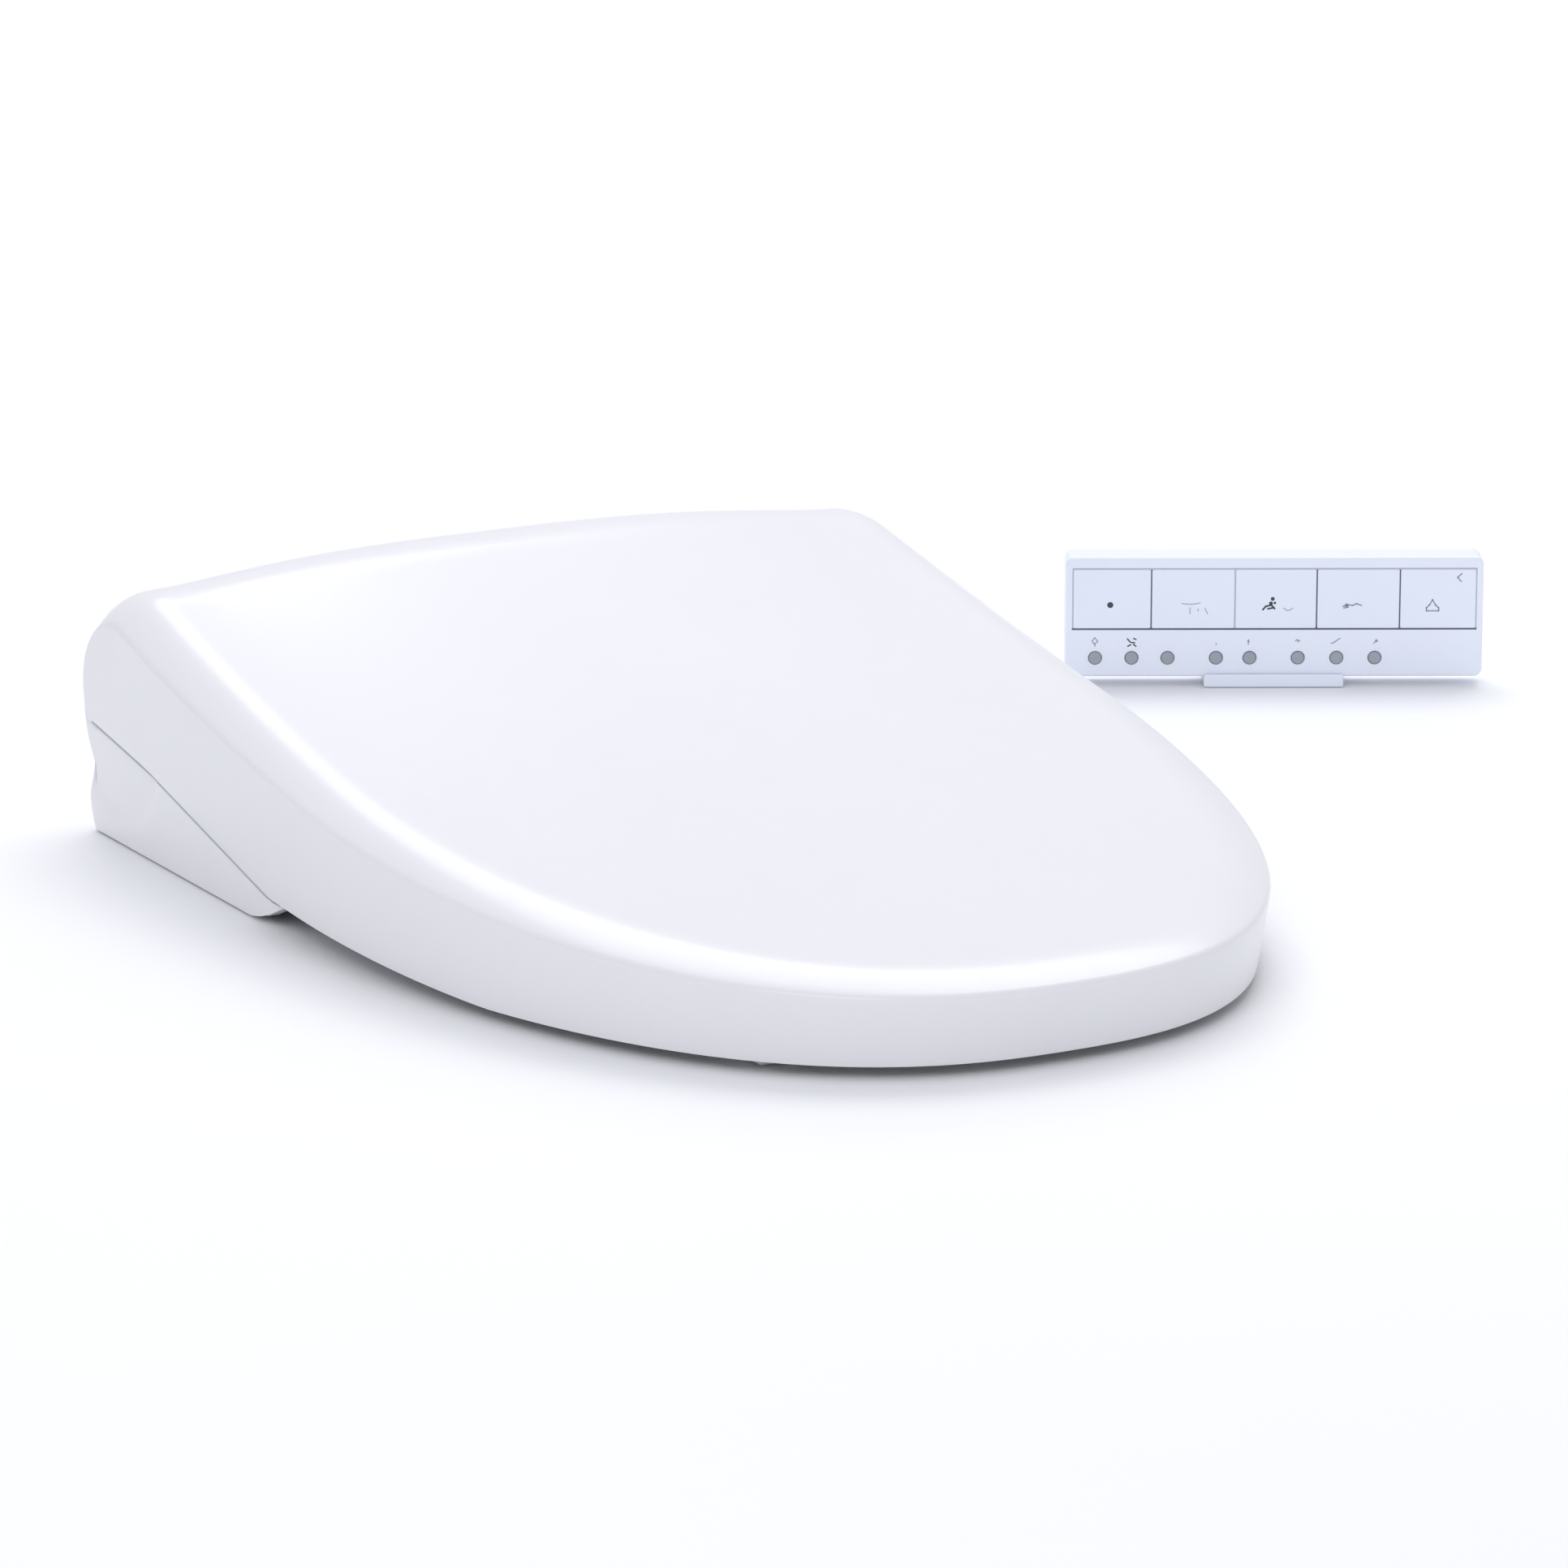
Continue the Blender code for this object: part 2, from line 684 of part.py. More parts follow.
def base_openings(item, tag):
    """Slots for the seat's arms, bores for the hinge pins and pockets for the lid's hubs."""
    for name, side in sides():
        low, high = sorted((side * SLOT_INNER_X, side * SLOT_OUTER_X))
        slot = box(
            f"{tag}_slot_{name}", (low, SLOT_Y[0], SLOT_Z[0]), (high, SLOT_Y[1], SLOT_Z[1]), "grey_plastic"
        )
        boolean(item, slot)
        outside = on_axis(side * BEYOND_X)
        start = on_axis(side * PIN_BORE_INNER_X)
        boolean(item, cylinder(f"{tag}_pin_bore_{name}", PIN_RADIUS + GAP, start, outside, "grey_plastic"))
        start = on_axis(side * (HUB_INNER_X - HUB_CLEARANCE))
        radius = HUB_RADIUS + HUB_CLEARANCE
        boolean(item, cylinder(f"{tag}_hub_bore_{name}", radius, start, outside, "grey_plastic"))


def room_for(name, low, high, clearance):
    """A cutter round a block in the front wall, which reaches through that wall."""
    near = (low[0] - clearance, low[1] - 0.004, low[2] - clearance)
    far = (high[0] + clearance, high[1] + 0.004, high[2] + clearance)
    return box(name, near, far, "grey_plastic")


def upper_cover():
    cover = flat_outline(
        "upper_cover", cover_outline(), -COVER_HALF_WIDTH, COVER_HALF_WIDTH, "white_shell", "X"
    )
    hollow = flat_outline(
        "upper_cover_hollow",
        cover_outline(COVER_RADIUS - COVER_WALL, COVER_WALL),
        -SLOT_INNER_X + COVER_WALL,
        SLOT_INNER_X - COVER_WALL,
        "grey_plastic",
        "X",
    )
    boolean(cover, hollow)
    base_openings(cover, "upper_cover")
    boolean(cover, room_for("window_hole", WINDOW_LOW, WINDOW_HIGH, WINDOW_CLEARANCE))


def side_panel_outline():
    back = arc((AXIS_Y, AXIS_Z), PANEL_RADIUS, -43, 98, 17)
    foot_y = back[0][0]
    return [(foot_y, 0.0006)] + back + [
        (-0.0600, 0.0660), (-0.0700, 0.0560), (-0.0760, 0.0335), (-0.1440, 0.0165), (-0.1530, 0.0140),
        (-0.1565, 0.0118), (-0.1560, 0.0092), (-0.1430, 0.0036), (-0.1290, 0.0006),
    ]


def side_panels():
    for name, side in sides():
        low, high = sorted((side * PANEL_INNER_X, side * PANEL_OUTER_X))
        panel = flat_outline("side_panel_" + name, side_panel_outline(), low, high, "white_shell", "X")
        start, end = on_axis(side * SLOT_OUTER_X), on_axis(side * BEYOND_X)
        radius = HUB_RADIUS + HUB_CLEARANCE
        boolean(panel, cylinder("side_panel_bore_" + name, radius, start, end, "grey_plastic"))


def lower_case():
    """A tray whose floor clears the mounting plate, with a channel for the wand."""
    outline = rounded_rectangle((-COVER_HALF_WIDTH, BASE_FRONT_Y), (COVER_HALF_WIDTH, BASE_REAR_Y), 0.006)
    case = flat_outline("lower_case", outline, CASE_BOTTOM_Z, CASE_TOP_Z, "case_plastic")
    inner = rounded_rectangle(
        (-COVER_HALF_WIDTH + CASE_WALL, BASE_FRONT_Y + CASE_WALL),
        (COVER_HALF_WIDTH - CASE_WALL, BASE_REAR_Y - CASE_WALL),
        0.004,
    )
    boolean(case, flat_outline("case_tray", inner, CASE_FLOOR_Z[1], CASE_TOP_Z + 0.01, "grey_plastic"))
    boolean(case, flat_outline("case_recess", inner, CASE_BOTTOM_Z - 0.01, CASE_FLOOR_Z[0], "grey_plastic"))
    half = SHUTTER_HALF_WIDTH + 0.001
    channel = box(
        "wand_channel",
        (WAND_X - half, BASE_FRONT_Y - 0.01, -0.01),
        (WAND_X + half, -0.022, 0.03),
        "grey_plastic",
    )
    boolean(case, channel)
    half = DRYER_HALF_WIDTH + 0.001
    vent = box(
        "dryer_outlet",
        (DRYER_X - half, BASE_FRONT_Y - 0.01, 0.0105),
        (DRYER_X + half, BASE_FRONT_Y + 0.004, 0.03),
        "grey_plastic",
    )
    boolean(case, vent)
    high = (*BUTTON_HIGH[:2], CASE_TOP_Z + 0.010)
    boolean(case, room_for("button_hole", BUTTON_LOW, high, BUTTON_CLEARANCE))


def upright(name, radius, x, low, high, slot, sides_round=24, far_radius=None):
    """A round bar on a vertical line in the bolts' plane."""
    return cylinder(name, radius, (x, 0, low), (x, 0, high), slot, sides_round, far_radius)


def mounting():
    half_x, half_y = PLATE_SIZE[0] / 2, PLATE_SIZE[1] / 2
    outline = rounded_rectangle((-half_x, -half_y), (half_x, half_y - 0.006), 0.008)
    mat = flat_outline("anti_slip_mat", outline, 0.0, MAT_TOP_Z, "rubber")
    plate = flat_outline("base_plate", outline, MAT_TOP_Z + GAP, PLATE_TOP_Z, "grey_plastic")
    for name, side in sides():
        x = side * BOLT_SPACING / 2
        boolean(plate, upright("bolt_hole_" + name, BOLT_HOLE_RADIUS, x, -0.02, 0.02, "grey_plastic"))
        boolean(mat, upright("mat_hole_" + name, BOLT_HOLE_RADIUS, x, -0.02, 0.02, "grey_plastic"))
        bolt = upright("mounting_bolt_" + name, BOLT_RADIUS, x, BOLT_BOTTOM_Z, 0.0060, "steel", 20)
        head_z = (PLATE_TOP_Z + GAP, BOLT_TOP_Z)
        boolean(bolt, upright("bolt_head_" + name, BOLT_HEAD_RADIUS, x, *head_z, "steel", 20), "UNION")
        nut = upright("expansion_nut_" + name, NUT_RADII[0], x, *NUT_Z, "rubber", 20, NUT_RADII[1])
        boolean(nut, upright("nut_bore_" + name, BOLT_RADIUS + GAP, x, -0.07, 0.0, "rubber", 20))


def release_button():
    box("release_button", BUTTON_LOW, BUTTON_HIGH, "white_shell", 0.0012)


def hinge_pins():
    for name, side in sides():
        start, end = on_axis(side * PIN_INNER_X), on_axis(side * PIN_OUTER_X)
        cylinder("hinge_pin_" + name, PIN_RADIUS, start, end, "steel")


def dampers():
    """Slow-close dampers, which sit on the hinge line inside the cover."""
    for tag, side in (("seat_damper", -1), ("lid_damper", 1)):
        start, end = on_axis(side * DAMPER_X[0]), on_axis(side * DAMPER_X[1])
        cylinder(tag, DAMPER_RADIUS, start, end, "black_plastic", 28)


def water_path():
    heater = box("water_heater", WATER_HEATER_LOW, WATER_HEATER_HIGH, "grey_plastic", 0.003)
    x, y, z = WATER_HEATER_HIGH
    x, z = x - 0.028, z - 0.017
    port = cylinder("heater_port", 0.004, (x, y - 0.002, z), (x, y + 0.008, z), "grey_plastic", 16)
    boolean(heater, port, "UNION")
    valve = box("solenoid_valve", VALVE_LOW, VALVE_HIGH, "black_plastic", 0.002)
    x, y = ((a + b) / 2 for a, b in zip(VALVE_LOW[:2], VALVE_HIGH[:2]))
    low, high = COIL_Z
    coil = cylinder("valve_coil", COIL_RADIUS, (x, y, low), (x, y, high), "black_plastic", 20)
    boolean(valve, coil, "UNION")
    x, z = INLET_PLACE
    start, end = (x, PORT_INNER_Y, z), (x, INLET_OUTER_Y, z)
    inlet = cylinder("water_inlet_fitting", PORT_RADIUS, start, end, "brass", 24)
    collar = cylinder("inlet_collar", 0.0076, (x, 0.0350, z), (x, 0.0390, z), "brass", 6)
    boolean(inlet, collar, "UNION")
    throat = cylinder("inlet_throat", 0.0035, (x, 0.0100, z), (x, 0.0600, z), "brass", 20)
    boolean(inlet, throat)


def inlet_and_gland_holes():
    """Round passages through the case's rear wall, for the water inlet and the cord gland."""
    case = bpy.data.objects["lower_case"]
    for tag, (x, z) in (("inlet", INLET_PLACE), ("gland", GLAND_PLACE)):
        hole = cylinder(tag + "_hole", PORT_RADIUS + GAP, (x, 0.0305, z), (x, 0.0600, z), "rubber", 24)
        boolean(case, hole)


def cord_gland():
    x, z = GLAND_PLACE
    start, end = (x, PORT_INNER_Y, z), (x, GLAND_OUTER_Y, z)
    gland = cylinder("cord_gland", PORT_RADIUS, start, end, "rubber", 24, 0.0050)
    bore = cylinder("cord_gland_bore", 0.0034, (x, 0.0200, z), (x, 0.0460, z), "rubber", 20)
    boolean(gland, bore)


def electronics():
    box("controller_board", BOARD_LOW, BOARD_HIGH, "board")
    box("sensor_window", WINDOW_LOW, WINDOW_HIGH, "smoked_lens", 0.0008)


def air_path():
    """The dryer's fan, heater and flap, and the deodorizer's cartridge."""
    low, high = FAN_Z
    place = (DRYER_X, FAN_Y)
    fan = cylinder("dryer_fan", FAN_RADIUS, (*place, low), (*place, high), "black_plastic", 32)
    start, end = (*place, high - 0.008), (*place, high + 0.010)
    boolean(fan, cylinder("fan_eye", FAN_EYE_RADIUS, start, end, "black_plastic", 20))
    box("deodorizer_cartridge", CARTRIDGE_LOW, CARTRIDGE_HIGH, "grey_plastic", 0.002)
    front = BASE_FRONT_Y - GAP
    low = (DRYER_X - DRYER_HALF_WIDTH, front - FLAP_THICKNESS, 0.0110)
    high = (DRYER_X + DRYER_HALF_WIDTH, front, 0.0198)
    flap = box("dryer_flap", low, high, "white_shell")
    set_origin(flap, (DRYER_X, front - FLAP_THICKNESS / 2, high[2]))


def wand_direction():
    return Vector((0.0, -math.cos(WAND_SLOPE), -math.sin(WAND_SLOPE)))


def wand_spot(along):
    """A point on the wand's line; along is measured forwards from the exit."""
    return Vector((WAND_X, WAND_EXIT[0], WAND_EXIT[1])) + wand_direction() * along


def wand():
    tip = -WAND_SETBACK
    root = tip - 0.020
    start, end = wand_spot(tip - WAND_LENGTH), wand_spot(root - GAP)
    body = cylinder("wand_tube", WAND_RADIUS, start, end, "soft_white", 28)
    start, end = wand_spot(root - 0.010), wand_spot(root + 0.005)
    boolean(body, cylinder("wand_socket", WAND_RADIUS - 0.0022, start, end, "soft_white", 24))
    start, end = wand_spot(root), wand_spot(tip)
    nozzle = cylinder("wand_nozzle", WAND_RADIUS, start, end, "white_shell", 28, 0.0052)
    start, end = wand_spot(root - 0.0095), wand_spot(root + 0.001)
    boolean(nozzle, cylinder("nozzle_stem", WAND_RADIUS - 0.0025, start, end, "white_shell", 24), "UNION")


def wand_housing():
    """A tube round the parked wand, open at both ends, with feet on the case floor."""
    start, end = wand_spot(-0.118), wand_spot(-0.052)
    tube = cylinder("wand_housing", WAND_RADIUS + 0.0030, start, end, "grey_plastic", 28)
    low, high = (WAND_X - 0.008, -0.014, CASE_FLOOR_Z[1] + GAP), (WAND_X + 0.008, 0.010, 0.040)
    boolean(tube, box("housing_foot", low, high, "grey_plastic"), "UNION")
    start, end = wand_spot(-0.140), wand_spot(-0.020)
    boolean(tube, cylinder("housing_bore", WAND_RADIUS + 0.0006, start, end, "grey_plastic", 28))


def nozzle_shutter():
    y, z = SHUTTER_HINGE
    low = (WAND_X - SHUTTER_HALF_WIDTH, y - FLAP_THICKNESS / 2, 0.0014)
    high = (WAND_X + SHUTTER_HALF_WIDTH, y + FLAP_THICKNESS / 2, z)
    set_origin(box("nozzle_shutter", low, high, "white_shell"), (WAND_X, y, z))


def set_origin(item, place):
    """Moves an object's origin to a place, and leaves its shape where it is."""
    place = Vector(place)
    item.data.transform(Matrix.Translation(item.location - place))
    item.location = place


# ---------------------------------------------------------------- remote control

def remote_point(x, y, z):
    """A place on the remote: x from its left edge, z down from its top edge."""
    return Vector((x - REMOTE_SIZE[0] / 2, y, REMOTE_SIZE[2] - z))


def remote_face(name, low, high, slot, round_edges=0.0, segments=2):
    """A block on the remote, from (left, front, top) to (right, back, bottom)."""
    a, b = remote_point(*low), remote_point(*high)
    return box(name, (a.x, a.y, b.z), (b.x, b.y, a.z), slot, round_edges, segments)


def remote_front_case(outline, inner, depth):
    """The front half of the case, with a window for the keys and a hole for each button."""
    front = flat_outline("remote_front_case", outline, -depth / 2, REMOTE_SPLIT_Y, "remote_white", "Y")
    boolean(front, flat_outline("front_hollow", inner, -depth / 2 + REMOTE_WALL, 0.004, "remote_white", "Y"))
    low = (KEY_EDGES[0] - GAP, -0.02, KEY_TOP)
    high = (KEY_EDGES[-1] + GAP, -0.005, KEY_BOTTOM)
    boolean(front, remote_face("key_window", low, high, "remote_white"))
    for i, x in enumerate(BUTTON_PLACES):
        start, end = remote_point(x, -0.02, BUTTON_DROP), remote_point(x, -0.004, BUTTON_DROP)
        hole = cylinder(f"button_hole_{i + 1}", BUTTON_RADIUS + GAP, start, end, "remote_white", 20)
        boolean(front, hole)
    return front


def remote_back_case(outline, inner, depth):
    """The back half of the case, with a hatch for the batteries."""
    split = REMOTE_SPLIT_Y + GAP
    back = flat_outline("remote_back_case", outline, split, depth / 2, "remote_white", "Y")
    boolean(back, flat_outline("back_hollow", inner, -0.004, depth / 2 - REMOTE_WALL, "remote_white", "Y"))
    low, high = (HATCH_X[0], 0.005, HATCH_DROP[0]), (HATCH_X[1], 0.02, HATCH_DROP[1])
    boolean(back, remote_face("hatch", low, high, "remote_white"))
    return back


def remote_case():
    width, depth, height = REMOTE_SIZE
    outline = rounded_rectangle((-width / 2, 0), (width / 2, height), REMOTE_CORNER)
    low = (-width / 2 + REMOTE_WALL, REMOTE_WALL)
    high = (width / 2 - REMOTE_WALL, height - REMOTE_WALL)
    inner = rounded_rectangle(low, high, REMOTE_WALL)
    pieces = [remote_front_case(outline, inner, depth), remote_back_case(outline, inner, depth)]
    low = (HATCH_X[0] + GAP, depth / 2 - 0.0018, HATCH_DROP[0] + GAP)
    high = (HATCH_X[1] - GAP, depth / 2, HATCH_DROP[1] - GAP)
    pieces.append(remote_face("battery_door", low, high, "remote_white"))
    pieces.append(remote_face("remote_board", (0.006, -0.0050, 0.006), (0.185, -0.0042, 0.050), "board"))
    for i, drop in enumerate(BATTERY_DROPS):
        start, end = (remote_point(x, BATTERY_Y, drop) for x in BATTERY_X)
        pieces.append(cylinder(f"battery_{i + 1}", BATTERY_RADIUS, start, end, "battery", 20))
    return pieces


def remote_keys():
    front = -REMOTE_SIZE[1] / 2
    pieces = []
    for name, left, right in zip(KEY_NAMES, KEY_EDGES, KEY_EDGES[1:]):
        low = (left + 0.0002, front - 0.0006, KEY_TOP + 0.0003)
        high = (right - 0.0002, front + 0.0020, KEY_BOTTOM - 0.0003)
        pieces.append(remote_face("key_" + name, low, high, "remote_key", 0.0005, 1))
    for i, x in enumerate(BUTTON_PLACES):
        start = remote_point(x, front - 0.0010, BUTTON_DROP)
        end = remote_point(x, front + 0.0030, BUTTON_DROP)
        pieces.append(cylinder(f"button_{i + 1}", BUTTON_RADIUS, start, end, "remote_grey", 20))
    return pieces


def remote_hanger():
    """A wall hanger: a back plate, a shelf and a low front lip."""
    back = REMOTE_SIZE[1] / 2 + 0.0005
    plate = back + 0.0025
    lip = -REMOTE_SIZE[1] / 2 - 0.0006
    front = lip - 0.0016
    low, shelf, lip_top, plate_top = -0.0045, -GAP, 0.0014, 0.0120
    outline = [
        (front, low), (plate, low), (plate, plate_top), (back, plate_top),
        (back, shelf), (lip, shelf), (lip, lip_top), (front, lip_top),
    ]
    half = HANGER_HALF_WIDTH
    return flat_outline("remote_hanger", outline, -half, half, "remote_white", "X")


def place_remote():
    holder = bpy.data.objects.new("remote_place", None)
    PARTS.objects.link(holder)
    holder.location = REMOTE_PLACE
    holder.rotation_euler = (0, 0, REMOTE_TURN)
    for item in remote_case() + remote_keys() + [remote_hanger()]:
        item.parent = holder
    for item in CUTTERS.objects:
        if item.name in REMOTE_CUTTERS or item.name.startswith("button_hole_"):
            item.parent = holder


# ---------------------------------------------------------------- the whole object

clear_scene()
PARTS = new_collection(OBJECT_NAME)
CUTTERS = new_collection(OBJECT_NAME + "_cutters")

lid_shell()
lid_pivots()
lid_bumpers()
seat_ring_top()
seat_ring_bottom()
seat_heater()
seat_bumpers()
upper_cover()
side_panels()
lower_case()
mounting()
release_button()
hinge_pins()
dampers()
water_path()
cord_gland()
inlet_and_gland_holes()
electronics()
air_path()
wand_housing()
wand()
nozzle_shutter()
place_remote()
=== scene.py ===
"""The looks of the electric bidet seat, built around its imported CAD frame. Metres, +Z up."""
import json
import math

import bmesh
import bpy
from mathutils import Matrix, Vector


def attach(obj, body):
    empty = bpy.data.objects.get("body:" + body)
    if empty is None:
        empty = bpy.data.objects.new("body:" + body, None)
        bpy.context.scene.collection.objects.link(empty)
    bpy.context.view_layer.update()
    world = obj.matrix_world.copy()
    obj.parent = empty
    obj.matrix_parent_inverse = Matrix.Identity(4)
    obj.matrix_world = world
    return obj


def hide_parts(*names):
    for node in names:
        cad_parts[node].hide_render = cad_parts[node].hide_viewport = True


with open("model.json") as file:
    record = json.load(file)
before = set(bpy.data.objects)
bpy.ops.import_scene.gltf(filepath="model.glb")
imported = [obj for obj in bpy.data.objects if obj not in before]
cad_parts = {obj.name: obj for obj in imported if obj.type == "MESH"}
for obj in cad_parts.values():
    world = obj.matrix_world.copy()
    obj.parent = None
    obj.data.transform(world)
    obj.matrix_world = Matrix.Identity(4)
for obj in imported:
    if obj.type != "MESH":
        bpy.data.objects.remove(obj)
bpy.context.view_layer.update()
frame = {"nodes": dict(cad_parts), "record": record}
NODES = frame["nodes"]

# Camera
CAMERA_PLACE = Vector((-1.4756, -2.9332, 0.8616))
CAMERA_AZIMUTH = math.radians(-28.75)
CAMERA_PITCH = math.radians(14.66)
CAMERA_LENS = 179.0

# How finely the curved pieces are divided
LID_STEPS = {"front": 56, "side": 18, "rear": 10, "tail": 14}
LID_ACROSS = 36
CREASE_STEPS = 8
SHOULDER_STEPS = 8
RING_STATIONS = 144
SKIN_STATIONS = 84
SKIN_LEVELS = 24
SEAM_STATIONS = 60

# Lid, as in the CAD
LID_HALF_WIDTH = 0.1906
LID_NOSE_Y = -0.475
LID_WIDEST_Y = -0.178
LID_POWER_X = 2.43
LID_POWER_Y = 1.98
LID_WALL = 0.0025
CREASE_NOSE_Z = 0.0329
CREASE_RISE = 0.0752
CREASE_DIP = 0.0139
LID_LENGTH = 0.530
SHOULDER_WIDTH = 0.025
SHOULDER_NOSE = 0.006
SHOULDER_REAR = 0.012
CROWN_REAR = 0.0083
SKIRT_BOTTOM_Z = 0.0048
SEAM_RISES = ((-0.310, 0.050), (-0.150, 0.175), (-0.030, -0.066))
SKIRT_DRAFT_SIDE = 0.003
SKIRT_DRAFT_NOSE = 0.0058
TAPER_START_Y = -0.130
AXIS_Y = 0.003
AXIS_Z = 0.055
LID_CREASE_RADIUS = 0.040
TAIL_CUT = 0.0105
TAIL_POWER = 2.0
ARC_START = math.radians(102.5)
LID_WALL_END = math.radians(65)
SKIRT_END = math.radians(-5)

# Lid, finer than in the CAD: where the tail's edge meets the seam, and its rounded edges
SEAM_TURN = math.radians(-9.5)
CREASE_FILLET = 0.0021
LID_EDGE = 0.0006

# Seat ring, as in the CAD
RING_HALF_WIDTH = 0.1760
RING_NOSE_Y = -0.4620
RING_REAR_Y = -0.0950
RING_INNER_HALF_WIDTH = 0.104
RING_INNER_NOSE_Y = -0.400
RING_INNER_REAR_Y = -0.128
RING_INNER_WIDEST_Y = -0.222
RING_SPLIT_Z = 0.0127
RING_TOP_Z = 0.0265
RING_WALL = 0.003
RING_EDGE = 0.010
RING_DIP = 0.0015
RING_REAR_POWER = 5.0
RING_INNER_REAR_POWER = 2.4

# Side skins, which bring the base's sides flush with the lid's skirt
PANEL_BASE_X = 0.1847
PANEL_FLUSH_X = 0.1865
PANEL_INNER_X = 0.1838
PANEL_REAR_Y = 0.0320
PANEL_REAR_RADIUS = 0.0369
PANEL_HEEL_Z = 0.0292
PANEL_HEEL_TUCK = 0.0014
PANEL_FOOT_Z = 0.0160
PANEL_FOOT_TUCK = 0.0055
PANEL_FOOT_POWER = 2.2
PANEL_TIP_Y = -0.1565
PANEL_TIP_LENGTH = 0.0060
PANEL_TIP_LEVEL = 0.55
PANEL_TIP_TUCK = 0.0020
PANEL_TIP_EDGE = 0.0001
PANEL_DECK_GAP = 0.0007
PANEL_LIFT_Y = -0.1270
PANEL_LIFT = 0.0088
PANEL_LIFT_POWER = 1.6
PANEL_PACKING = 1.3
PANEL_REAR_BLEND = 5
PANEL_EDGE = 0.0008
PANEL_SWEEP_RADIUS = 0.0400
PANEL_RAMP = 0.010
SEAM_GAP = 0.0008
SEAM_SIGHT = 0.95
# Painted shadow in the seam: a grey strip under the skirt, where there would only be shade
SEAM_SHADOW_Y = (-0.146, 0.033)
SEAM_SHADOW_DROP = 0.0002
SEAM_SHADOW_LAP = 0.0004
SEAM_SHADOW_DEPTH = 0.0008
SEAM_SHADOW_PROUD = 0.0001

# Remote, in its own frame: x to its right, z up, -y towards its user
REMOTE_PLACE = Vector((0.395, 0.010, 0.0045))
REMOTE_TURN = math.radians(-28.45)
REMOTE_FRAME = Matrix.Translation(REMOTE_PLACE) @ Matrix.Rotation(REMOTE_TURN, 4, "Z")
REMOTE_WIDTH, REMOTE_DEPTH, REMOTE_HEIGHT = 0.191, 0.018, 0.056
REMOTE_WALL = 0.0020
REMOTE_CORNER = 0.0035
REMOTE_EDGE = 0.0011
FRONT_Y = -REMOTE_DEPTH / 2
SPLIT_Y = -0.001
HOLLOW_BACK_Y = 0.003
KEY_EDGES = (0.0032, 0.0391, 0.0774, 0.1148, 0.1528, 0.1878)
KEY_TOP = 0.0053
KEY_BOTTOM = 0.0334
KEY_CORNER = 0.0006
KEY_GAP = 0.00030
KEY_PROUD = 0.00055
KEY_NAMES = ("stop", "rear_wash", "soft_wash", "front_wash", "dryer")
BUTTON_PLACES = (0.0136, 0.0303, 0.0468, 0.0690, 0.0844, 0.1065, 0.1242, 0.1417)
BUTTON_DROP = 0.0471
BUTTON_RADIUS = 0.0029
BUTTON_GAP = 0.0003
BUTTON_PROUD = 0.00095
PRINT_PROUD = 0.00006


# ---------------------------------------------------------------- materials

def node_material(name):
    made = bpy.data.materials.new(name)
    made.use_nodes = True
    tree = made.node_tree
    return made, tree, tree.nodes["Principled BSDF"]


def noise(tree, scale, detail=2.0, stretch=(1, 1, 1)):
    """Noise in the object's own metres; returns its factor socket."""
    place = tree.nodes.new("ShaderNodeTexCoord")
    spread = tree.nodes.new("ShaderNodeMapping")
    spread.inputs["Scale"].default_value = stretch
    tree.links.new(place.outputs["Object"], spread.inputs["Vector"])
    made = tree.nodes.new("ShaderNodeTexNoise")
    made.inputs["Scale"].default_value = scale
    made.inputs["Detail"].default_value = detail
    tree.links.new(spread.outputs["Vector"], made.inputs["Vector"])
    return made.outputs["Fac"]


def remap(tree, source, low, high, start=0.3, end=0.7):
    """Stretches a factor, noise's middle part as a rule, over low to high."""
    made = tree.nodes.new("ShaderNodeMapRange")
    made.inputs["From Min"].default_value = start
    made.inputs["From Max"].default_value = end
    made.inputs["To Min"].default_value = low
    made.inputs["To Max"].default_value = high
    tree.links.new(source, made.inputs["Value"])
    return made.outputs["Result"]


def ramp(tree, source, stops):
    """Turns a factor into colours, from stops as (place, colour)."""
    made = tree.nodes.new("ShaderNodeValToRGB")
    band = made.color_ramp
    while len(band.elements) < len(stops):
        band.elements.new(0.5)
    for element, (place, colour) in zip(band.elements, stops):
        element.position = place
        element.color = (*colour, 1.0)
    tree.links.new(source, made.inputs["Fac"])
    return made.outputs["Color"]


def shade(colour, factor):
    """The same colour, lighter or darker."""
    return tuple(min(1.0, c * factor) for c in colour)


def surface(name, colour, rough, rough_spread=0.04, grain=900, bump=0.04, bump_size=0.0002,
            metallic=0.0, coat=0.0, spec=0.5, cast=0.03, cast_scale=9, stretch=(1, 1, 1), detail=3.0):
    """A moulded or machined surface: slow colour cast, varied roughness and a fine grain."""
    made, tree, shader = node_material(name)
    slow = noise(tree, cast_scale, 2.0)
    tint = ramp(tree, slow, [(0.3, shade(colour, 1 - cast)), (0.7, shade(colour, 1 + cast * 0.5))])
    tree.links.new(tint, shader.inputs["Base Color"])
    fine = noise(tree, grain * 0.12, 3.0, stretch)
    tree.links.new(remap(tree, fine, rough - rough_spread, rough + rough_spread), shader.inputs["Roughness"])
    lumps = tree.nodes.new("ShaderNodeBump")
    lumps.inputs["Strength"].default_value = bump
    lumps.inputs["Distance"].default_value = bump_size
    tree.links.new(noise(tree, grain, detail, stretch), lumps.inputs["Height"])
    tree.links.new(lumps.outputs["Normal"], shader.inputs["Normal"])
    shader.inputs["Metallic"].default_value = metallic
    shader.inputs["Specular IOR Level"].default_value = spec
    shader.inputs["Coat Weight"].default_value = coat
    shader.inputs["Coat Roughness"].default_value = 0.12
    return made


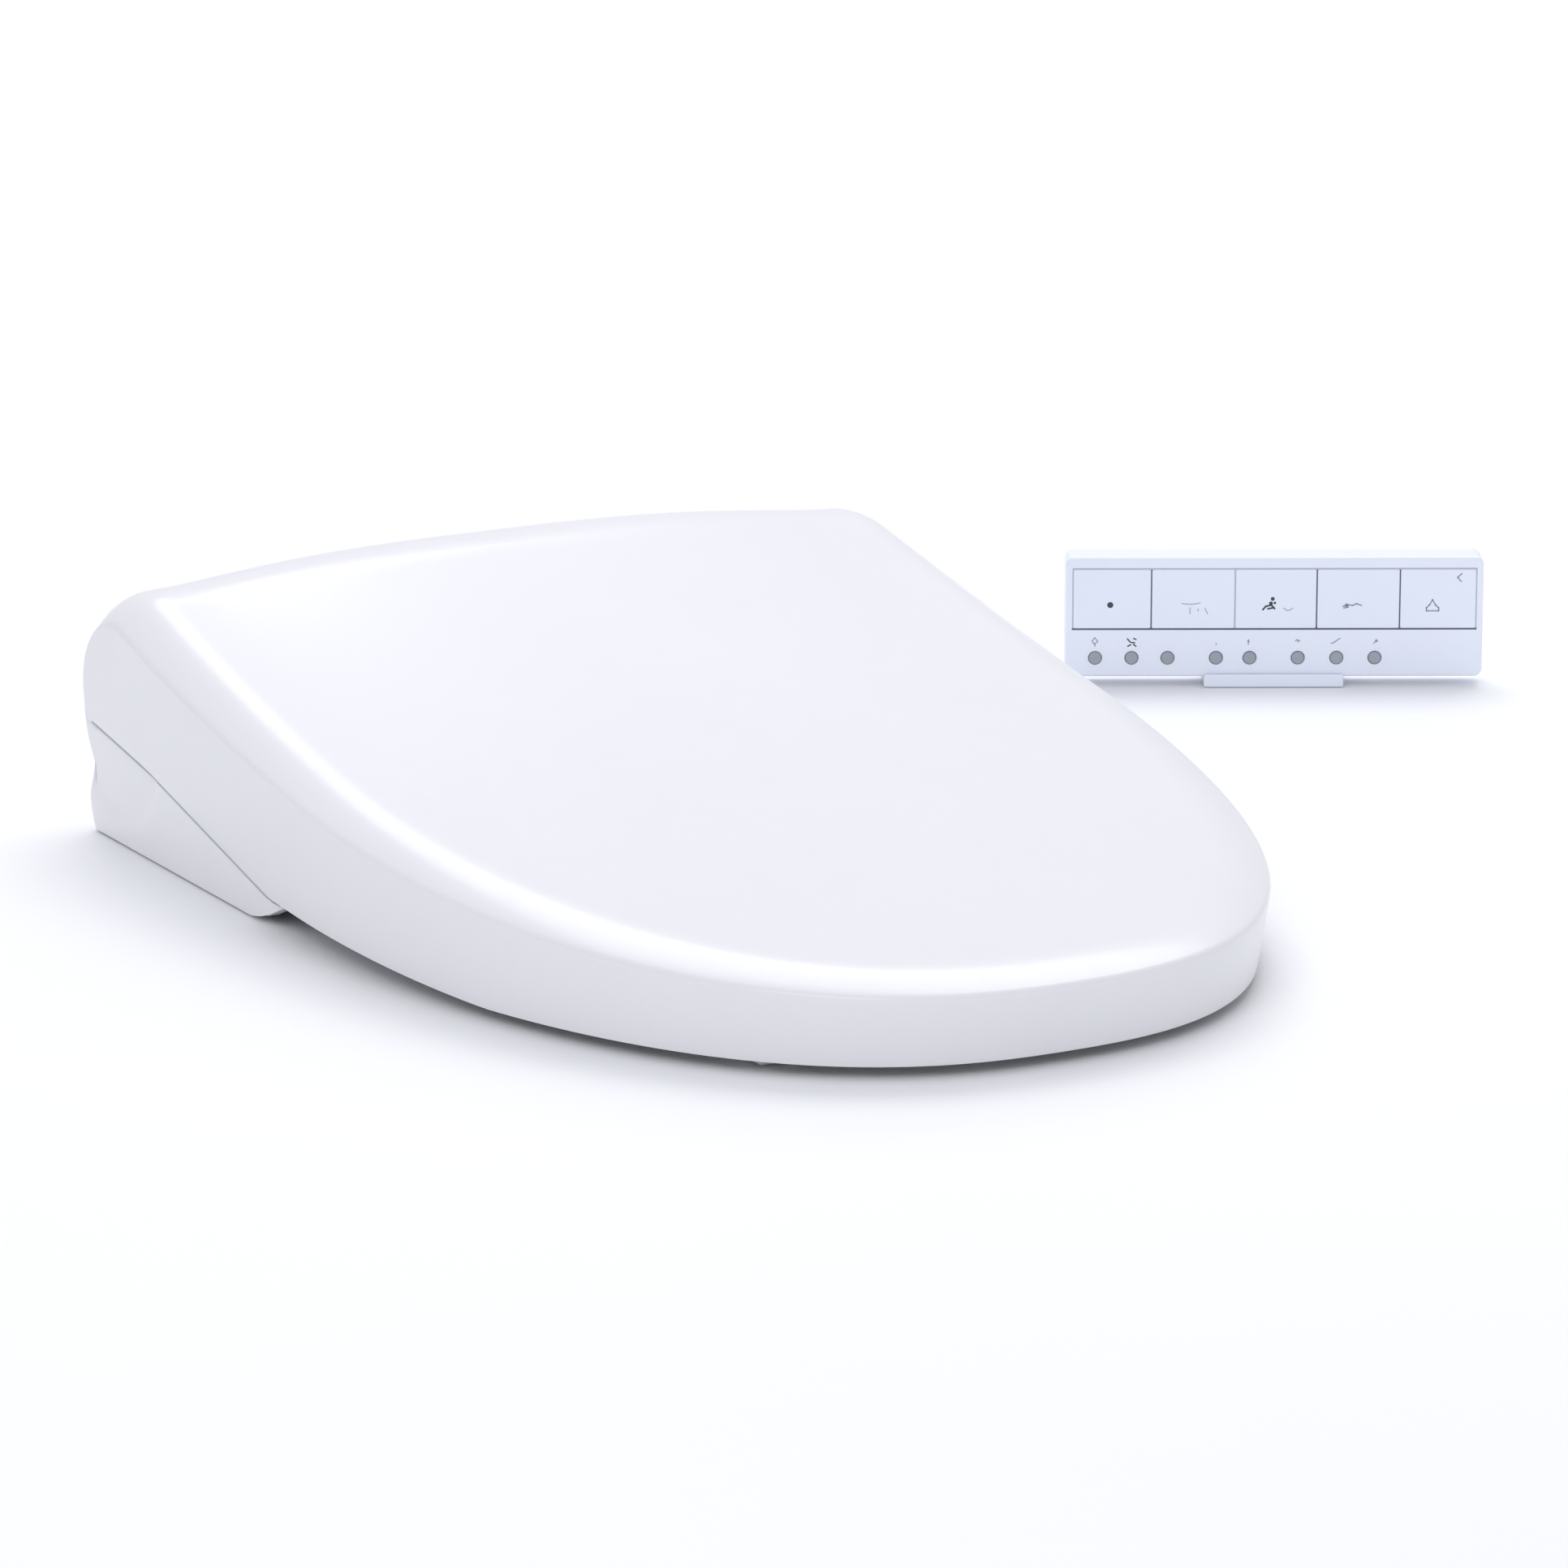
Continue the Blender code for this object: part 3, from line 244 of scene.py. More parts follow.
def board_material():
    """Green solder mask with paler copper areas."""
    made, tree, shader = node_material("board")
    place = tree.nodes.new("ShaderNodeTexCoord")
    bricks = tree.nodes.new("ShaderNodeTexBrick")
    bricks.inputs["Scale"].default_value = 260
    bricks.inputs["Mortar Size"].default_value = 0.04
    bricks.inputs["Color1"].default_value = (0.020, 0.110, 0.050, 1)
    bricks.inputs["Color2"].default_value = (0.030, 0.150, 0.070, 1)
    bricks.inputs["Mortar"].default_value = (0.060, 0.240, 0.110, 1)
    tree.links.new(place.outputs["Object"], bricks.inputs["Vector"])
    tree.links.new(bricks.outputs["Color"], shader.inputs["Base Color"])
    tree.links.new(remap(tree, noise(tree, 300), 0.30, 0.45), shader.inputs["Roughness"])
    shader.inputs["Coat Weight"].default_value = 0.3
    return made


def heater_material():
    """Heating foil: darker tracks run round an orange film."""
    made, tree, shader = node_material("heater_film")
    place = tree.nodes.new("ShaderNodeTexCoord")
    waves = tree.nodes.new("ShaderNodeTexWave")
    waves.inputs["Scale"].default_value = 55
    waves.inputs["Distortion"].default_value = 1.5
    tree.links.new(place.outputs["Object"], waves.inputs["Vector"])
    tint = ramp(tree, waves.outputs["Fac"], [(0.35, (0.55, 0.24, 0.06)), (0.55, (0.80, 0.42, 0.14))])
    tree.links.new(tint, shader.inputs["Base Color"])
    tree.links.new(remap(tree, noise(tree, 400), 0.30, 0.45), shader.inputs["Roughness"])
    shader.inputs["Metallic"].default_value = 0.4
    return made


def floor_material():
    """A plain pale floor, almost without gloss."""
    made, tree, shader = node_material("floor")
    tint = ramp(tree, noise(tree, 1.3), [(0.3, (0.880, 0.885, 0.900)), (0.7, (0.900, 0.905, 0.918))])
    tree.links.new(tint, shader.inputs["Base Color"])
    tree.links.new(remap(tree, noise(tree, 30), 0.62, 0.72), shader.inputs["Roughness"])
    shader.inputs["Specular IOR Level"].default_value = 0.25
    return made


WHITE = (0.775, 0.777, 0.802)
SEAT_WHITE = (0.765, 0.767, 0.785)
MATERIALS = {
    "white_shell": surface(
        "white_shell", WHITE, 0.30, 0.025, coat=0.20, cast=0.008, bump=0.03, bump_size=0.00002
    ),
    "seat_plastic": surface(
        "seat_plastic", SEAT_WHITE, 0.30, 0.03, coat=0.2, cast=0.010, bump=0.03, bump_size=0.00002
    ),
    "case_plastic": surface("case_plastic", (0.72, 0.722, 0.735), 0.46, 0.06, bump=0.15),
    "grey_plastic": surface("grey_plastic", (0.30, 0.31, 0.33), 0.50, 0.06, bump=0.20, cast=0.06),
    "black_plastic": surface("black_plastic", (0.028, 0.029, 0.033), 0.45, 0.06, bump=0.20, cast=0.10),
    "rubber": surface("rubber", (0.045, 0.045, 0.047), 0.80, 0.08, grain=1400, bump=0.35, cast=0.10),
    "soft_white": surface("soft_white", (0.66, 0.665, 0.675), 0.68, 0.06, bump=0.15, cast=0.04),
    "steel": surface(
        "steel", (0.58, 0.59, 0.61), 0.28, 0.07, grain=1500, bump=0.12, metallic=1.0, stretch=(1, 1, 0.08)
    ),
    "brass": surface("brass", (0.70, 0.50, 0.20), 0.30, 0.07, grain=1500, bump=0.12, metallic=1.0, cast=0.08),
    "smoked_lens": surface(
        "smoked_lens", (0.020, 0.020, 0.026), 0.09, 0.02, coat=0.6, cast=0.10, bump=0.01
    ),
    "remote_white": surface(
        "remote_white", (0.800, 0.845, 0.945), 0.34, 0.04, coat=0.1, cast=0.015, bump=0.05
    ),
    "remote_key": surface("remote_key", (0.790, 0.840, 0.945), 0.32, 0.04, coat=0.1, cast=0.015, bump=0.05),
    "remote_grey": surface("remote_grey", (0.330, 0.355, 0.400), 0.42, 0.05, bump=0.12, cast=0.06),
    "battery": surface("battery", (0.13, 0.26, 0.17), 0.34, 0.05, metallic=0.2, coat=0.3, cast=0.08),
    "board": board_material(),
    "heater_film": heater_material(),
    "print_dark": surface("print_dark", (0.045, 0.050, 0.065), 0.45, 0.05, bump=0.05, cast=0.10),
    "print_soft": surface("print_soft", (0.300, 0.320, 0.390), 0.45, 0.05, bump=0.05, cast=0.06),
    # Painted shade: the colour of the strip that stands in for the shadow in the seam under the lid
    "seam_shadow": surface("seam_shadow", (0.44, 0.445, 0.48), 0.55, 0.05, bump=0.05, cast=0.05),
    "groove": surface("groove", (0.120, 0.130, 0.170), 0.55, 0.05, bump=0.05, cast=0.08),
    "groove_soft": surface("groove_soft", (0.480, 0.510, 0.590), 0.55, 0.05, bump=0.05, cast=0.06),
}


# ---------------------------------------------------------------- mesh helpers

def piece(name, work, material, body, replaced=(), sharp=35):
    """Makes a finished piece from a mesh in progress, riding on a body of the CAD."""
    mesh = bpy.data.meshes.new(name)
    work.to_mesh(mesh)
    work.free()
    mesh.shade_smooth()
    mesh.set_sharp_from_angle(angle=math.radians(sharp))
    made = bpy.data.objects.new(name, mesh)
    bpy.context.scene.collection.objects.link(made)
    mesh.materials.append(MATERIALS[material])
    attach(made, body)
    if replaced:
        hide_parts(*replaced)
    return made


def bevel(item, width, segments=3, angle=35):
    """Rounds the edges that are sharper than angle, in degrees."""
    step = item.modifiers.new("edges", "BEVEL")
    step.width = width
    step.segments = segments
    step.limit_method = "ANGLE"
    step.angle_limit = math.radians(angle)
    step.use_clamp_overlap = True
    return item


def grid_faces(work, rows, closed=False):
    """Faces between neighbouring rows of vertices; spots that coincide are used once."""
    for low, high in zip(rows, rows[1:]):
        spans = range(len(low)) if closed else range(len(low) - 1)
        for i in spans:
            j = (i + 1) % len(low)
            corners = []
            for spot in (low[i], low[j], high[j], high[i]):
                if spot not in corners:
                    corners.append(spot)
            if len(corners) > 2:
                work.faces.new(corners)


def solid_faces(work, rows):
    """Joins closed rows into a solid, with a face over each end."""
    grid_faces(work, rows, closed=True)
    work.faces.new(rows[0])
    work.faces.new(rows[-1])


def smooth_step(t):
    t = min(1.0, max(0.0, t))
    return t * t * (3 - 2 * t)


def sides():
    """Names of the two sides, with the sign of their x."""
    return (("left", -1), ("right", 1))


# ---------------------------------------------------------------- lid

def crease_z(y):
    """Height of the crease between skirt and shoulder, which dips on its way up to the hinge."""
    share = (y - LID_NOSE_Y) / LID_LENGTH
    return CREASE_NOSE_Z + CREASE_RISE * share - CREASE_DIP * 4 * share * (1 - share)


def crease_slope(y):
    """Slope of crease_z."""
    share = (y - LID_NOSE_Y) / LID_LENGTH
    return (CREASE_RISE - CREASE_DIP * 4 * (1 - 2 * share)) / LID_LENGTH


def seam_z(y):
    """Height of the skirt's lower edge: level in front, then rising in steps of slope."""
    return SKIRT_BOTTOM_Z + sum(max(0.0, y - start) * slope for start, slope in SEAM_RISES)


def plan_point(turn, inset=0.0):
    """A point of the lid's rounded front outline, moved in by inset along its normal."""
    reach = LID_WIDEST_Y - LID_NOSE_Y
    c = max(math.cos(turn), 0.0)
    s = max(math.sin(turn), 0.0)
    x = LID_HALF_WIDTH * c ** (2 / LID_POWER_X)
    y = LID_WIDEST_Y - reach * s ** (2 / LID_POWER_Y)
    normal = Vector((
        (max(x, 1e-9) / LID_HALF_WIDTH) ** (LID_POWER_X - 1) / LID_HALF_WIDTH,
        -(max(LID_WIDEST_Y - y, 1e-9) / reach) ** (LID_POWER_Y - 1) / reach,
    )).normalized()
    return x - normal.x * inset, y - normal.y * inset, -normal.y


def lid_stations(front, side, rear, tail):
    """Places round the lid's edge: front by angle, side by y, rear and tail by angle at the hinge."""
    stations = [("front", math.pi / 2 * (1 - i / front)) for i in range(front + 1)]
    start = AXIS_Y + LID_CREASE_RADIUS * math.cos(ARC_START)
    stretches = (
        ("side", LID_WIDEST_Y, start, side),
        ("rear", ARC_START, LID_WALL_END, rear),
        ("tail", LID_WALL_END, SKIRT_END, tail),
    )
    for kind, first, last, count in stretches:
        stations += [(kind, first + (last - first) * (i + 1) / count) for i in range(count)]
    return stations


def crease_x(y):
    """Half the width between the side creases, which close in towards the hinge."""
    share = max(0.0, (y - TAPER_START_Y) / (AXIS_Y - TAPER_START_Y))
    return LID_HALF_WIDTH - SKIRT_DRAFT_SIDE * min(share, 1.0) ** 2


def tail_radius(turn):
    """Distance of the side wall's rear edge from the hinge line, at an angle round that line."""
    share = max(0.0, (ARC_START - turn) / (ARC_START - SKIRT_END))
    return LID_CREASE_RADIUS - TAIL_CUT * share ** TAIL_POWER


def tail_y(turn):
    """How far back the side wall's rear edge is, at an angle round the hinge line."""
    return AXIS_Y + tail_radius(turn) * math.cos(turn)


def lid_point(station, inset):
    """A point of the lid's outside, inset from its outline."""
    kind, value = station
    rise = 1 - (1 - min(inset / SHOULDER_WIDTH, 1.0)) ** 2
    if kind == "front":
        x, y, ahead = plan_point(value, inset)
    elif kind == "side":
        x, y = crease_x(value) - inset, value
    if kind in ("front", "side"):
        share = (y - LID_NOSE_Y) / (AXIS_Y - LID_NOSE_Y)
        lift = rise * (SHOULDER_NOSE + (SHOULDER_REAR - SHOULDER_NOSE) * share)
        lean = math.atan(crease_slope(y)) * max(share, 0.0) ** 2
        return Vector((x, y - lift * math.sin(lean), crease_z(y) + lift * math.cos(lean)))
    edge = tail_radius(value)
    radius = edge + rise * (LID_CREASE_RADIUS + SHOULDER_REAR - edge)
    return Vector((
        LID_HALF_WIDTH - SKIRT_DRAFT_SIDE - inset,
        AXIS_Y + radius * math.cos(value),
        AXIS_Z + radius * math.sin(value),
    ))


def lid_up(station):
    """The direction square to the lid's top at a station, and the share of the rear crown there."""
    kind, value = station
    if kind == "rear":
        return Vector((0.0, math.cos(value), math.sin(value))), 1.0
    y = lid_point(station, SHOULDER_WIDTH).y if kind == "front" else value
    share = max(0.0, (y - LID_NOSE_Y) / (AXIS_Y - LID_NOSE_Y))
    lean = math.atan(crease_slope(y)) * share ** 2
    return Vector((0.0, -math.sin(lean), math.cos(lean))), share ** 2


def lid_foot(station):
    kind, value = station
    if kind == "front":
        x, y, ahead = plan_point(value)
        draft = SKIRT_DRAFT_SIDE + (SKIRT_DRAFT_NOSE - SKIRT_DRAFT_SIDE) * ahead
        x, y, ahead = plan_point(value, draft)
    elif kind == "side":
        x, y = LID_HALF_WIDTH - SKIRT_DRAFT_SIDE, value
    else:
        x = LID_HALF_WIDTH - SKIRT_DRAFT_SIDE
        y = tail_y(value)
        if kind == "tail":
            share = (LID_WALL_END - value) / (LID_WALL_END - SKIRT_END)
            y = tail_y(LID_WALL_END) + (tail_y(SEAM_TURN) - tail_y(LID_WALL_END)) * share
    return Vector((x, y, seam_z(y)))


def lid_column(station):
    """Points up the skirt, round the crease and over the shoulder."""
    foot, crease = lid_foot(station), lid_point(station, 0.0)
    height = (crease - foot).length
    fillet = min(CREASE_FILLET, height * 0.45)
    below = crease.lerp(foot, fillet / height)
    beyond = lid_point(station, fillet)
    points = [foot, foot.lerp(below, 0.12), foot.lerp(below, 0.5), foot.lerp(below, 0.85)]
    if station[0] == "tail":
        beyond = crease
    for i in range(CREASE_STEPS + 1):
        t = i / CREASE_STEPS
        points.append(below * (1 - t) ** 2 + crease * 2 * t * (1 - t) + beyond * t ** 2)
    if station[0] != "tail":
        for i in range(1, SHOULDER_STEPS + 1):
            points.append(lid_point(station, fillet + (SHOULDER_WIDTH - fillet) * i / SHOULDER_STEPS))
    return points


def lid_shell():
    """One open sheet, skirt, crease, shoulder and crowned top, thickened inwards."""
    stations = lid_stations(**LID_STEPS)
    work = bmesh.new()

    def column(station, side):
        return [work.verts.new((side * p.x, p.y, p.z)) for p in lid_column(station)]

    nose = column(stations[0], 0)
    columns = {}
    for side in (1, -1):
        columns[side] = [nose] + [column(station, side) for station in stations[1:]]
        for low, high in zip(columns[side], columns[side][1:]):
            count = min(len(low), len(high))
            grid_faces(work, [low[:count], high[:count]])
    rows = [[nose[-1]] * (LID_ACROSS + 1)]
    for left, right, station in zip(columns[-1][1:], columns[1][1:], stations[1:]):
        if station[0] == "tail":
            break
        up, share = lid_up(station)
        inner = []
        for i in range(1, LID_ACROSS):
            off = abs(2 * i / LID_ACROSS - 1)
            bulge = CROWN_REAR * share * (1 - off ** 3) ** 1.5
            inner.append(work.verts.new(left[-1].co.lerp(right[-1].co, i / LID_ACROSS) + up * bulge))
        rows.append([left[-1]] + inner + [right[-1]])
    grid_faces(work, rows)
    bmesh.ops.recalc_face_normals(work, faces=work.faces)
    if max(work.faces, key=lambda face: face.calc_center_median().z).normal.z < 0:
        bmesh.ops.reverse_faces(work, faces=work.faces)
    made = piece("lid_moulding", work, "white_shell", "lid", ("lid_shell",), 60)
    step = made.modifiers.new("wall", "SOLIDIFY")
    step.thickness = LID_WALL
    step.offset = -1
    bevel(made, LID_EDGE, 3, 60)


# ---------------------------------------------------------------- seat ring

def ring_outline(turn, half_width, nose_y, rear_y, widest_y, rear_power):
    """A point of the ring's outer or inner edge, at an angle round it from its nose."""
    s, c = math.sin(turn), -math.cos(turn)
    x = half_width * math.copysign(abs(s) ** (2 / (LID_POWER_X if c < 0 else rear_power)), s)
    if c < 0:
        return Vector((x, widest_y - (widest_y - nose_y) * abs(c) ** (2 / LID_POWER_Y)))
    return Vector((x, widest_y + (rear_y - widest_y) * abs(c) ** (2 / rear_power)))


def ring_section(width):
    """(distance in from the outer edge, height) points round the ring's upper half."""
    quarter = [math.radians(7.5 * i) for i in range(13)]
    rise = [(RING_EDGE * (1 - math.cos(a)), RING_TOP_Z - RING_EDGE * (1 - math.sin(a))) for a in quarter]
    top = []
    for i in range(1, 12):
        share = i / 12
        reach = RING_EDGE + (width - 2 * RING_EDGE) * share
        top.append((reach, RING_TOP_Z - RING_DIP * math.sin(math.pi * share) ** 2))
    fall = [(width - reach, height) for reach, height in reversed(rise)]
    outside = [(0.0, RING_SPLIT_Z)] + rise + top + fall + [(width, RING_SPLIT_Z)]
    ceiling = RING_TOP_Z - RING_EDGE + 0.003
    return outside + [
        (width - RING_WALL, RING_SPLIT_Z), (width - RING_WALL, ceiling),
        (RING_WALL, ceiling), (RING_WALL, RING_SPLIT_Z),
    ]


def seat_ring():
    """The ring's moulded top, swept round between its two edges."""
    work = bmesh.new()
    rows = []
    for i in range(RING_STATIONS):
        turn = 2 * math.pi * i / RING_STATIONS
        outer = ring_outline(turn, RING_HALF_WIDTH, RING_NOSE_Y, RING_REAR_Y, LID_WIDEST_Y, RING_REAR_POWER)
        inner = ring_outline(
            turn, RING_INNER_HALF_WIDTH, RING_INNER_NOSE_Y, RING_INNER_REAR_Y, RING_INNER_WIDEST_Y,
            RING_INNER_REAR_POWER,
        )
        inward = (inner - outer).normalized()
        row = []
        for reach, height in ring_section((inner - outer).length):
            spot = outer + inward * reach
            row.append(work.verts.new((spot.x, spot.y, height)))
        rows.append(row)
    grid_faces(work, rows + [rows[0]], closed=True)
    bmesh.ops.recalc_face_normals(work, faces=work.faces)
    piece("seat_moulding", work, "seat_plastic", "seat", ("seat_ring_top",))


# ---------------------------------------------------------------- base sides

def skin_x(y, z):
    """How far out the skin stands: flush with the skirt, but clear of the lid's swinging tail."""
    reach = math.hypot(y - AXIS_Y, z - AXIS_Z)
    out = smooth_step((reach - PANEL_SWEEP_RADIUS) / PANEL_RAMP)
    return PANEL_BASE_X + (PANEL_FLUSH_X - PANEL_BASE_X) * out


def skin_high(y):
    """The skin's upper edge, which drops as the skirt above stands out over it."""
    edge = seam_z(y) - SEAM_GAP
    return edge - SEAM_SIGHT * (LID_HALF_WIDTH - SKIRT_DRAFT_SIDE - skin_x(y, edge))


def skin_low(y):
    """The skin's lower edge lies on the deck and lifts towards its front tip."""
    ahead = max(0.0, (PANEL_LIFT_Y - y) / (PANEL_LIFT_Y - PANEL_TIP_Y))
    return PANEL_DECK_GAP + PANEL_LIFT * ahead ** PANEL_LIFT_POWER


def rear_y(z):
    """The skin's rear edge is round about the hinge line, and tucks in towards the deck."""
    if z > PANEL_HEEL_Z:
        return AXIS_Y + math.sqrt(PANEL_REAR_RADIUS ** 2 - (AXIS_Z - z) ** 2)
    if z > PANEL_FOOT_Z:
        return PANEL_REAR_Y - PANEL_HEEL_TUCK * ((z - PANEL_FOOT_Z) / (PANEL_HEEL_Z - PANEL_FOOT_Z)) ** 2
    return PANEL_REAR_Y - PANEL_FOOT_TUCK * (1 - z / PANEL_FOOT_Z) ** PANEL_FOOT_POWER


def skin_section(share):
    """A cut through the skin, share of the way from its rear edge to its front tip, as (x, y, z)."""
    y = PANEL_REAR_Y + (PANEL_TIP_Y - PANEL_REAR_Y) * (1 - (1 - share) ** PANEL_PACKING)
    low = skin_low(y)
    high = skin_high(y)
    ahead = max(0.0, min(1.0, (PANEL_TIP_Y + PANEL_TIP_LENGTH - y) / PANEL_TIP_LENGTH))
    middle = low + (high - low) * PANEL_TIP_LEVEL
    close = math.sqrt(max(0.0, 1 - ahead ** 2))
    low = middle + (low - middle) * close - PANEL_TIP_EDGE
    high = middle + (high - middle) * close + PANEL_TIP_EDGE
    rearward = 1 - smooth_step(share * PANEL_REAR_BLEND)
    face = []
    for i in range(SKIN_LEVELS + 1):
        z = low + (high - low) * i / SKIN_LEVELS
        place = y + (rear_y(z) - PANEL_REAR_Y) * rearward
        face.append((skin_x(place, z) - PANEL_TIP_TUCK * ahead ** 2, place, z))
    foot, head = [(PANEL_INNER_X, min(y, rear_y(z)), z) for z in (low, high)]
    return [foot] + face + [head]


def side_skins():
    """The fixed sides under the lid's seam, with a rounded upper edge and front tip."""
    for name, side in sides():
        work = bmesh.new()
        rows = []
        for i in range(SKIN_STATIONS + 1):
            section = skin_section(i / SKIN_STATIONS)
            rows.append([work.verts.new((side * x, y, z)) for x, y, z in section])
        solid_faces(work, rows)
        bmesh.ops.recalc_face_normals(work, faces=work.faces)
        made = piece("side_skin_" + name, work, "white_shell", "base", (), 50)
        bevel(made, PANEL_EDGE, 4, 50)


def seam_shadow_strips():
    """A painted shadow: a grey strip between the lid's skirt and the side under it stands in for the shade in
    the seam.
    """
    front, rear = SEAM_SHADOW_Y
    for name, side in sides():
        work = bmesh.new()
        rows = []
        for i in range(SEAM_STATIONS + 1):
            y = front + (rear - front) * i / SEAM_STATIONS
            high = seam_z(y) - SEAM_SHADOW_DROP
            low = skin_high(y) - SEAM_SHADOW_LAP
            near = skin_x(y, low) - SEAM_SHADOW_DEPTH
            far = skin_x(y, low) + SEAM_SHADOW_PROUD
            row = [(near, low), (far, low), (far, high), (near, high)]
            rows.append([work.verts.new((side * x, y, z)) for x, z in row])
        solid_faces(work, rows)
        bmesh.ops.recalc_face_normals(work, faces=work.faces)
        piece("seam_shadow_strip_" + name, work, "seam_shadow", "base", ())


# ---------------------------------------------------------------- remote

def face_point(x, drop, y):
    """A place on the remote: x from its left edge, drop from its top edge."""
    return Vector((x - REMOTE_WIDTH / 2, y, REMOTE_HEIGHT - drop))


def rounded_outline(left, right, top, bottom, radius, count=6):
    """Points round a rectangle with rounded corners, as (x, drop)."""
    spots = []
    corners = ((right, top, 0), (left, top, 90), (left, bottom, 180), (right, bottom, 270))
    for x, drop, start in corners:
        cx = x + radius if x == left else x - radius
        cd = drop + radius if drop == top else drop - radius
        for i in range(count + 1):
            turn = math.radians(start + 90 * i / count)
            spots.append((cx + radius * math.cos(turn), cd - radius * math.sin(turn)))
    return spots


def dome(work, outline, front, back, edge, steps=4):
    """A closed plate from an outline, with its front edge rounded over."""
    centre_x = sum(x for x, drop in outline) / len(outline)
    centre_d = sum(drop for x, drop in outline) / len(outline)
    half_x = max(abs(x - centre_x) for x, drop in outline)
    half_d = max(abs(drop - centre_d) for x, drop in outline)
    rows = []
    levels = [(0.0, back)]
    for i in range(steps + 1):
        turn = math.pi / 2 * i / steps
        levels.append((edge * (1 - math.cos(turn)), front + edge * (1 - math.sin(turn))))
    levels.append((edge * 1.4, front))
    for inset, y in levels:
        sx, sd = 1 - inset / half_x, 1 - inset / half_d
        rows.append([
            work.verts.new(face_point(centre_x + (x - centre_x) * sx, centre_d + (drop - centre_d) * sd, y))
            for x, drop in outline
        ])
    solid_faces(work, rows)


def remote_piece(name, work, material, body, replaced=(), sharp=40):
    """A piece made in the remote's own frame, then moved to the remote's place."""
    bmesh.ops.recalc_face_normals(work, faces=work.faces)
    bmesh.ops.transform(work, matrix=REMOTE_FRAME, verts=work.verts)
    return piece(name, work, material, body, replaced, sharp)


def carve(item, cutters):
    """Takes the cutters, as meshes in progress, away from a piece, and keeps the result as its mesh."""
    for i, work in enumerate(cutters):
        bmesh.ops.recalc_face_normals(work, faces=work.faces)
        bmesh.ops.transform(work, matrix=REMOTE_FRAME, verts=work.verts)
        mesh = bpy.data.meshes.new(f"cutter_{i}")
        work.to_mesh(mesh)
        work.free()
        tool = bpy.data.objects.new(f"cutter_{i}", mesh)
        bpy.context.scene.collection.objects.link(tool)
        step = item.modifiers.new(tool.name, "BOOLEAN")
        step.operation = "DIFFERENCE"
        step.solver = "EXACT"
        step.object = tool
    bpy.context.view_layer.update()
    carved = bpy.data.meshes.new_from_object(item.evaluated_get(bpy.context.evaluated_depsgraph_get()))
    for step in list(item.modifiers):
        tool = step.object
        item.modifiers.remove(step)
        bpy.data.objects.remove(tool, do_unlink=True)
    carved.set_sharp_from_angle(angle=math.radians(35))
    item.data = carved


def prism(outline, front, back):
    """A straight block through an outline, as a mesh in progress."""
    work = bmesh.new()
    rows = [[work.verts.new(face_point(x, drop, y)) for x, drop in outline] for y in (back, front)]
    solid_faces(work, rows)
    return work


def remote_front():
    """The front half of the case, with a window for the keys and a hole for each button."""
    work = bmesh.new()
    outline = rounded_outline(0.0, REMOTE_WIDTH, 0.0, REMOTE_HEIGHT, REMOTE_CORNER, 8)
    dome(work, outline, FRONT_Y, SPLIT_Y, REMOTE_EDGE, 5)
    made = remote_piece(
        "remote_face", work, "remote_white", "remote", ("remote_front_case",)
    )
    wall = REMOTE_WALL
    inside = rounded_outline(wall, REMOTE_WIDTH - wall, wall, REMOTE_HEIGHT - wall, wall, 4)
    hollow = prism(inside, FRONT_Y + wall, HOLLOW_BACK_Y)
    through = (FRONT_Y - 0.002, FRONT_Y + 0.004)
    window = prism(rounded_outline(KEY_EDGES[0], KEY_EDGES[-1], KEY_TOP, KEY_BOTTOM, KEY_CORNER, 4), *through)
    holes = [prism(ring_points(x, BUTTON_DROP, BUTTON_RADIUS + BUTTON_GAP), *through) for x in BUTTON_PLACES]
    carve(made, [hollow, window] + holes)


def remote_keys():
    """Five large keys side by side, each rounded over at its edges."""
    gap = KEY_GAP
    for name, left, right in zip(KEY_NAMES, KEY_EDGES, KEY_EDGES[1:]):
        work = bmesh.new()
        outline = rounded_outline(left + gap, right - gap, KEY_TOP + gap, KEY_BOTTOM - gap, KEY_CORNER, 4)
        dome(work, outline, FRONT_Y - KEY_PROUD, FRONT_Y + 0.0020, 0.0004)
        remote_piece("keycap_" + name, work, "remote_key", "key_" + name, ("key_" + name,))


def ring_points(x, drop, radius, count=28):
    """Points round a circle, as (x, drop)."""
    return [
        (x + radius * math.cos(2 * math.pi * i / count), drop + radius * math.sin(2 * math.pi * i / count))
        for i in range(count)
    ]


def remote_buttons():
    """Eight small domed buttons in a row under the keys."""
    for i, x in enumerate(BUTTON_PLACES):
        work = bmesh.new()
        outline = ring_points(x, BUTTON_DROP, BUTTON_RADIUS)
        dome(work, outline, FRONT_Y - BUTTON_PROUD, FRONT_Y + 0.0030, 0.0007, 5)
        body = f"button_{i + 1}"
        remote_piece("cap_" + body, work, "remote_grey", body, (body,))


def strip(work, left, right, top, bottom, front, back):
    """A thin straight bar, for the ruled lines."""
    dome(work, [(right, top), (left, top), (left, bottom), (right, bottom)], front, back, 0.00004, 1)


